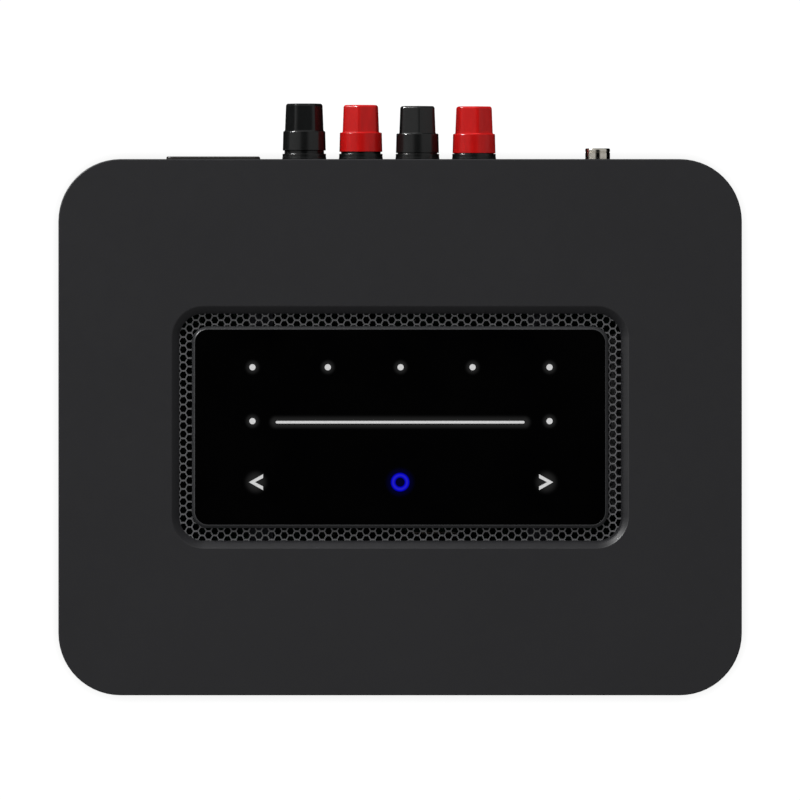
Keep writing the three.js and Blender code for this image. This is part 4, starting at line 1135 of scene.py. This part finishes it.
def build_rear():
    place(rear_plate(), "panel", "rear_panel")
    place(polarity_marks(), "ink", slot="panel")
    place(mains_inlet(), "socket", "mains_inlet")
    for pin in PINS:
        place(mains_pin(f"pin_{pin}", f"mains_pin_{pin}"), "nickel", f"mains_pin_{pin}")
    place(phono_barrel(), "nickel", "phono_shell")
    place(phono_bush(), "socket", "phono_insulator")
    place(phono_contact(), "gold")
    shell, insert, contacts = lan_pieces()
    place(shell, "shield", "lan_jack")
    place(insert, "socket")
    place(contacts, "gold")
    for name, wall, inset, tongue, pins, cut in (
        ("hdmi", 0.6, 2.0, (2.2, 3.4), 10, 1.6),
        ("usb", 0.6, 1.2, (3.4, 5.2), 4, 0.0),
    ):
        shell, tongue_piece, contacts = tongue_pieces(name, f"{name}_jack", wall, inset, tongue, pins, cut)
        place(shell, "shield", f"{name}_jack")
        place(tongue_piece, "socket")
        place(contacts, "gold")
    for name, way, z in (("audio_in", 1, UPPER_ROW), ("ir_in", 1, UPPER_ROW), ("headphone", -1, HEADPHONE_Z)):
        node = f"{name}_jack"
        lo, hi = node_box(node)
        x, face = (lo.x + hi.x) / 2, hi.y if way > 0 else lo.y
        place(round_jack(f"{name}_socket", node, x, z, way), "socket", node)
        place(jack_ring(f"{name}_ring", x, z, face, way), "nickel")


# ---- Pieces that keep their CAD shape ----

KEPT = {
    "circuit": [
        "touch_board",
        "main_board",
        "power_board",
        "audio_board",
        "terminal_board",
        "antenna_left",
        "antenna_right",
    ],
    "cable": ["touch_ribbon"],
    "aluminium": ["heatsink"],
    "ferrite": ["transformer", "output_inductor_left", "output_inductor_right"],
    "sleeve": ["bulk_capacitor_front", "bulk_capacitor_rear"],
    "shield": ["radio_module"],
}


def finish_kept_nodes():
    for finish, names in KEPT.items():
        for name in names:
            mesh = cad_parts[name].data
            mesh.materials.clear()
            mesh.materials.append(FINISHES[finish])


# ---- Studio ----


def studio_floor():
    """A plain white floor, lit enough to come out white, with shade painted into its glow where the receiver
    stands close to it.
    """
    floor = turned("studio_floor", [(FLOOR_RADIUS, -6), (FLOOR_RADIUS, 0)], (0, 0), "z", 96, closed=False)
    finish = Finish("studio_floor")
    speckle = finish.spread(finish.noise(3), 0, 1)
    # painted shade: the floor glows less where the receiver stands within 7 mm of it
    near = finish.add("ShaderNodeAmbientOcclusion", {"Distance": 7 * MM}, samples=24).outputs["AO"]
    finish.set(
        Base_Color=finish.tint(speckle, [(0.02, 0.02, 0.02), (0.022, 0.022, 0.022)]),
        Roughness=0.9,
        Specular_IOR_Level=0.1,
        Emission_Color=(1, 1, 1, 1),
        Emission_Strength=finish.spread(near, 0.78, 1.02, 0.5, 0.97),
    )
    floor.data.materials.append(finish.material)
    floor.visible_glossy = False


def lamp(name, azimuth, elevation, distance, size, power, left_out):
    """A square soft light aimed at the casing."""
    light = bpy.data.lights.new(name, "AREA")
    light.shape, light.size, light.energy = "SQUARE", size, power
    lamp_object = linked(name, light)
    a, e = math.radians(azimuth), math.radians(elevation)
    away = Vector((math.cos(a) * math.cos(e), math.sin(a) * math.cos(e), math.sin(e)))
    lamp_object.location = Vector((0, 0, TOP * MM)) + away * distance
    lamp_object.rotation_euler = away.to_track_quat("Z", "Y").to_euler()
    lamp_object.visible_camera = False
    if left_out:
        setattr(lamp_object, left_out, False)


def studio_world():
    """Soft light that is dark straight overhead and pale towards the horizon, and dark below it."""
    world = bpy.data.worlds.new("studio")
    bpy.context.scene.world = world
    tree = Tree(world)
    way = tree.add("ShaderNodeTexCoord").outputs["Generated"]
    height = tree.add("ShaderNodeSeparateXYZ", {0: way}).outputs["Z"]
    inputs = {"Value": height, "From Min": SKY_FADE[0], "From Max": SKY_FADE[1]}
    inputs.update({"To Min": SKY_STRENGTH, "To Max": 0.0})
    fade = tree.add("ShaderNodeMapRange", inputs, interpolation_type="SMOOTHSTEP").outputs[0]
    background = tree.nodes["Background"].inputs
    tree.feed(background["Strength"], tree.math("MULTIPLY", fade, tree.math("GREATER_THAN", height)))
    tree.feed(background["Color"], (1, 1, 1, 1))


def studio_camera():
    """A long lens straight above, with the rear of the receiver at the top of the picture."""
    data = bpy.data.cameras.new("camera")
    data.sensor_width = 36
    data.lens = CAMERA_DISTANCE * data.sensor_width / FRAME_WIDTH
    camera = linked("camera", data)
    camera.location = Vector((*CAMERA_SHIFT, TOP + CAMERA_DISTANCE)) * MM
    bpy.context.scene.camera = camera


def build_studio():
    studio_floor()
    for values in LAMPS:
        lamp(*values)
    studio_world()
    studio_camera()
    bpy.context.scene.view_settings.view_transform = "Standard"


build_casing()
build_panel()
build_posts()
build_rear()
finish_kept_nodes()
build_studio()
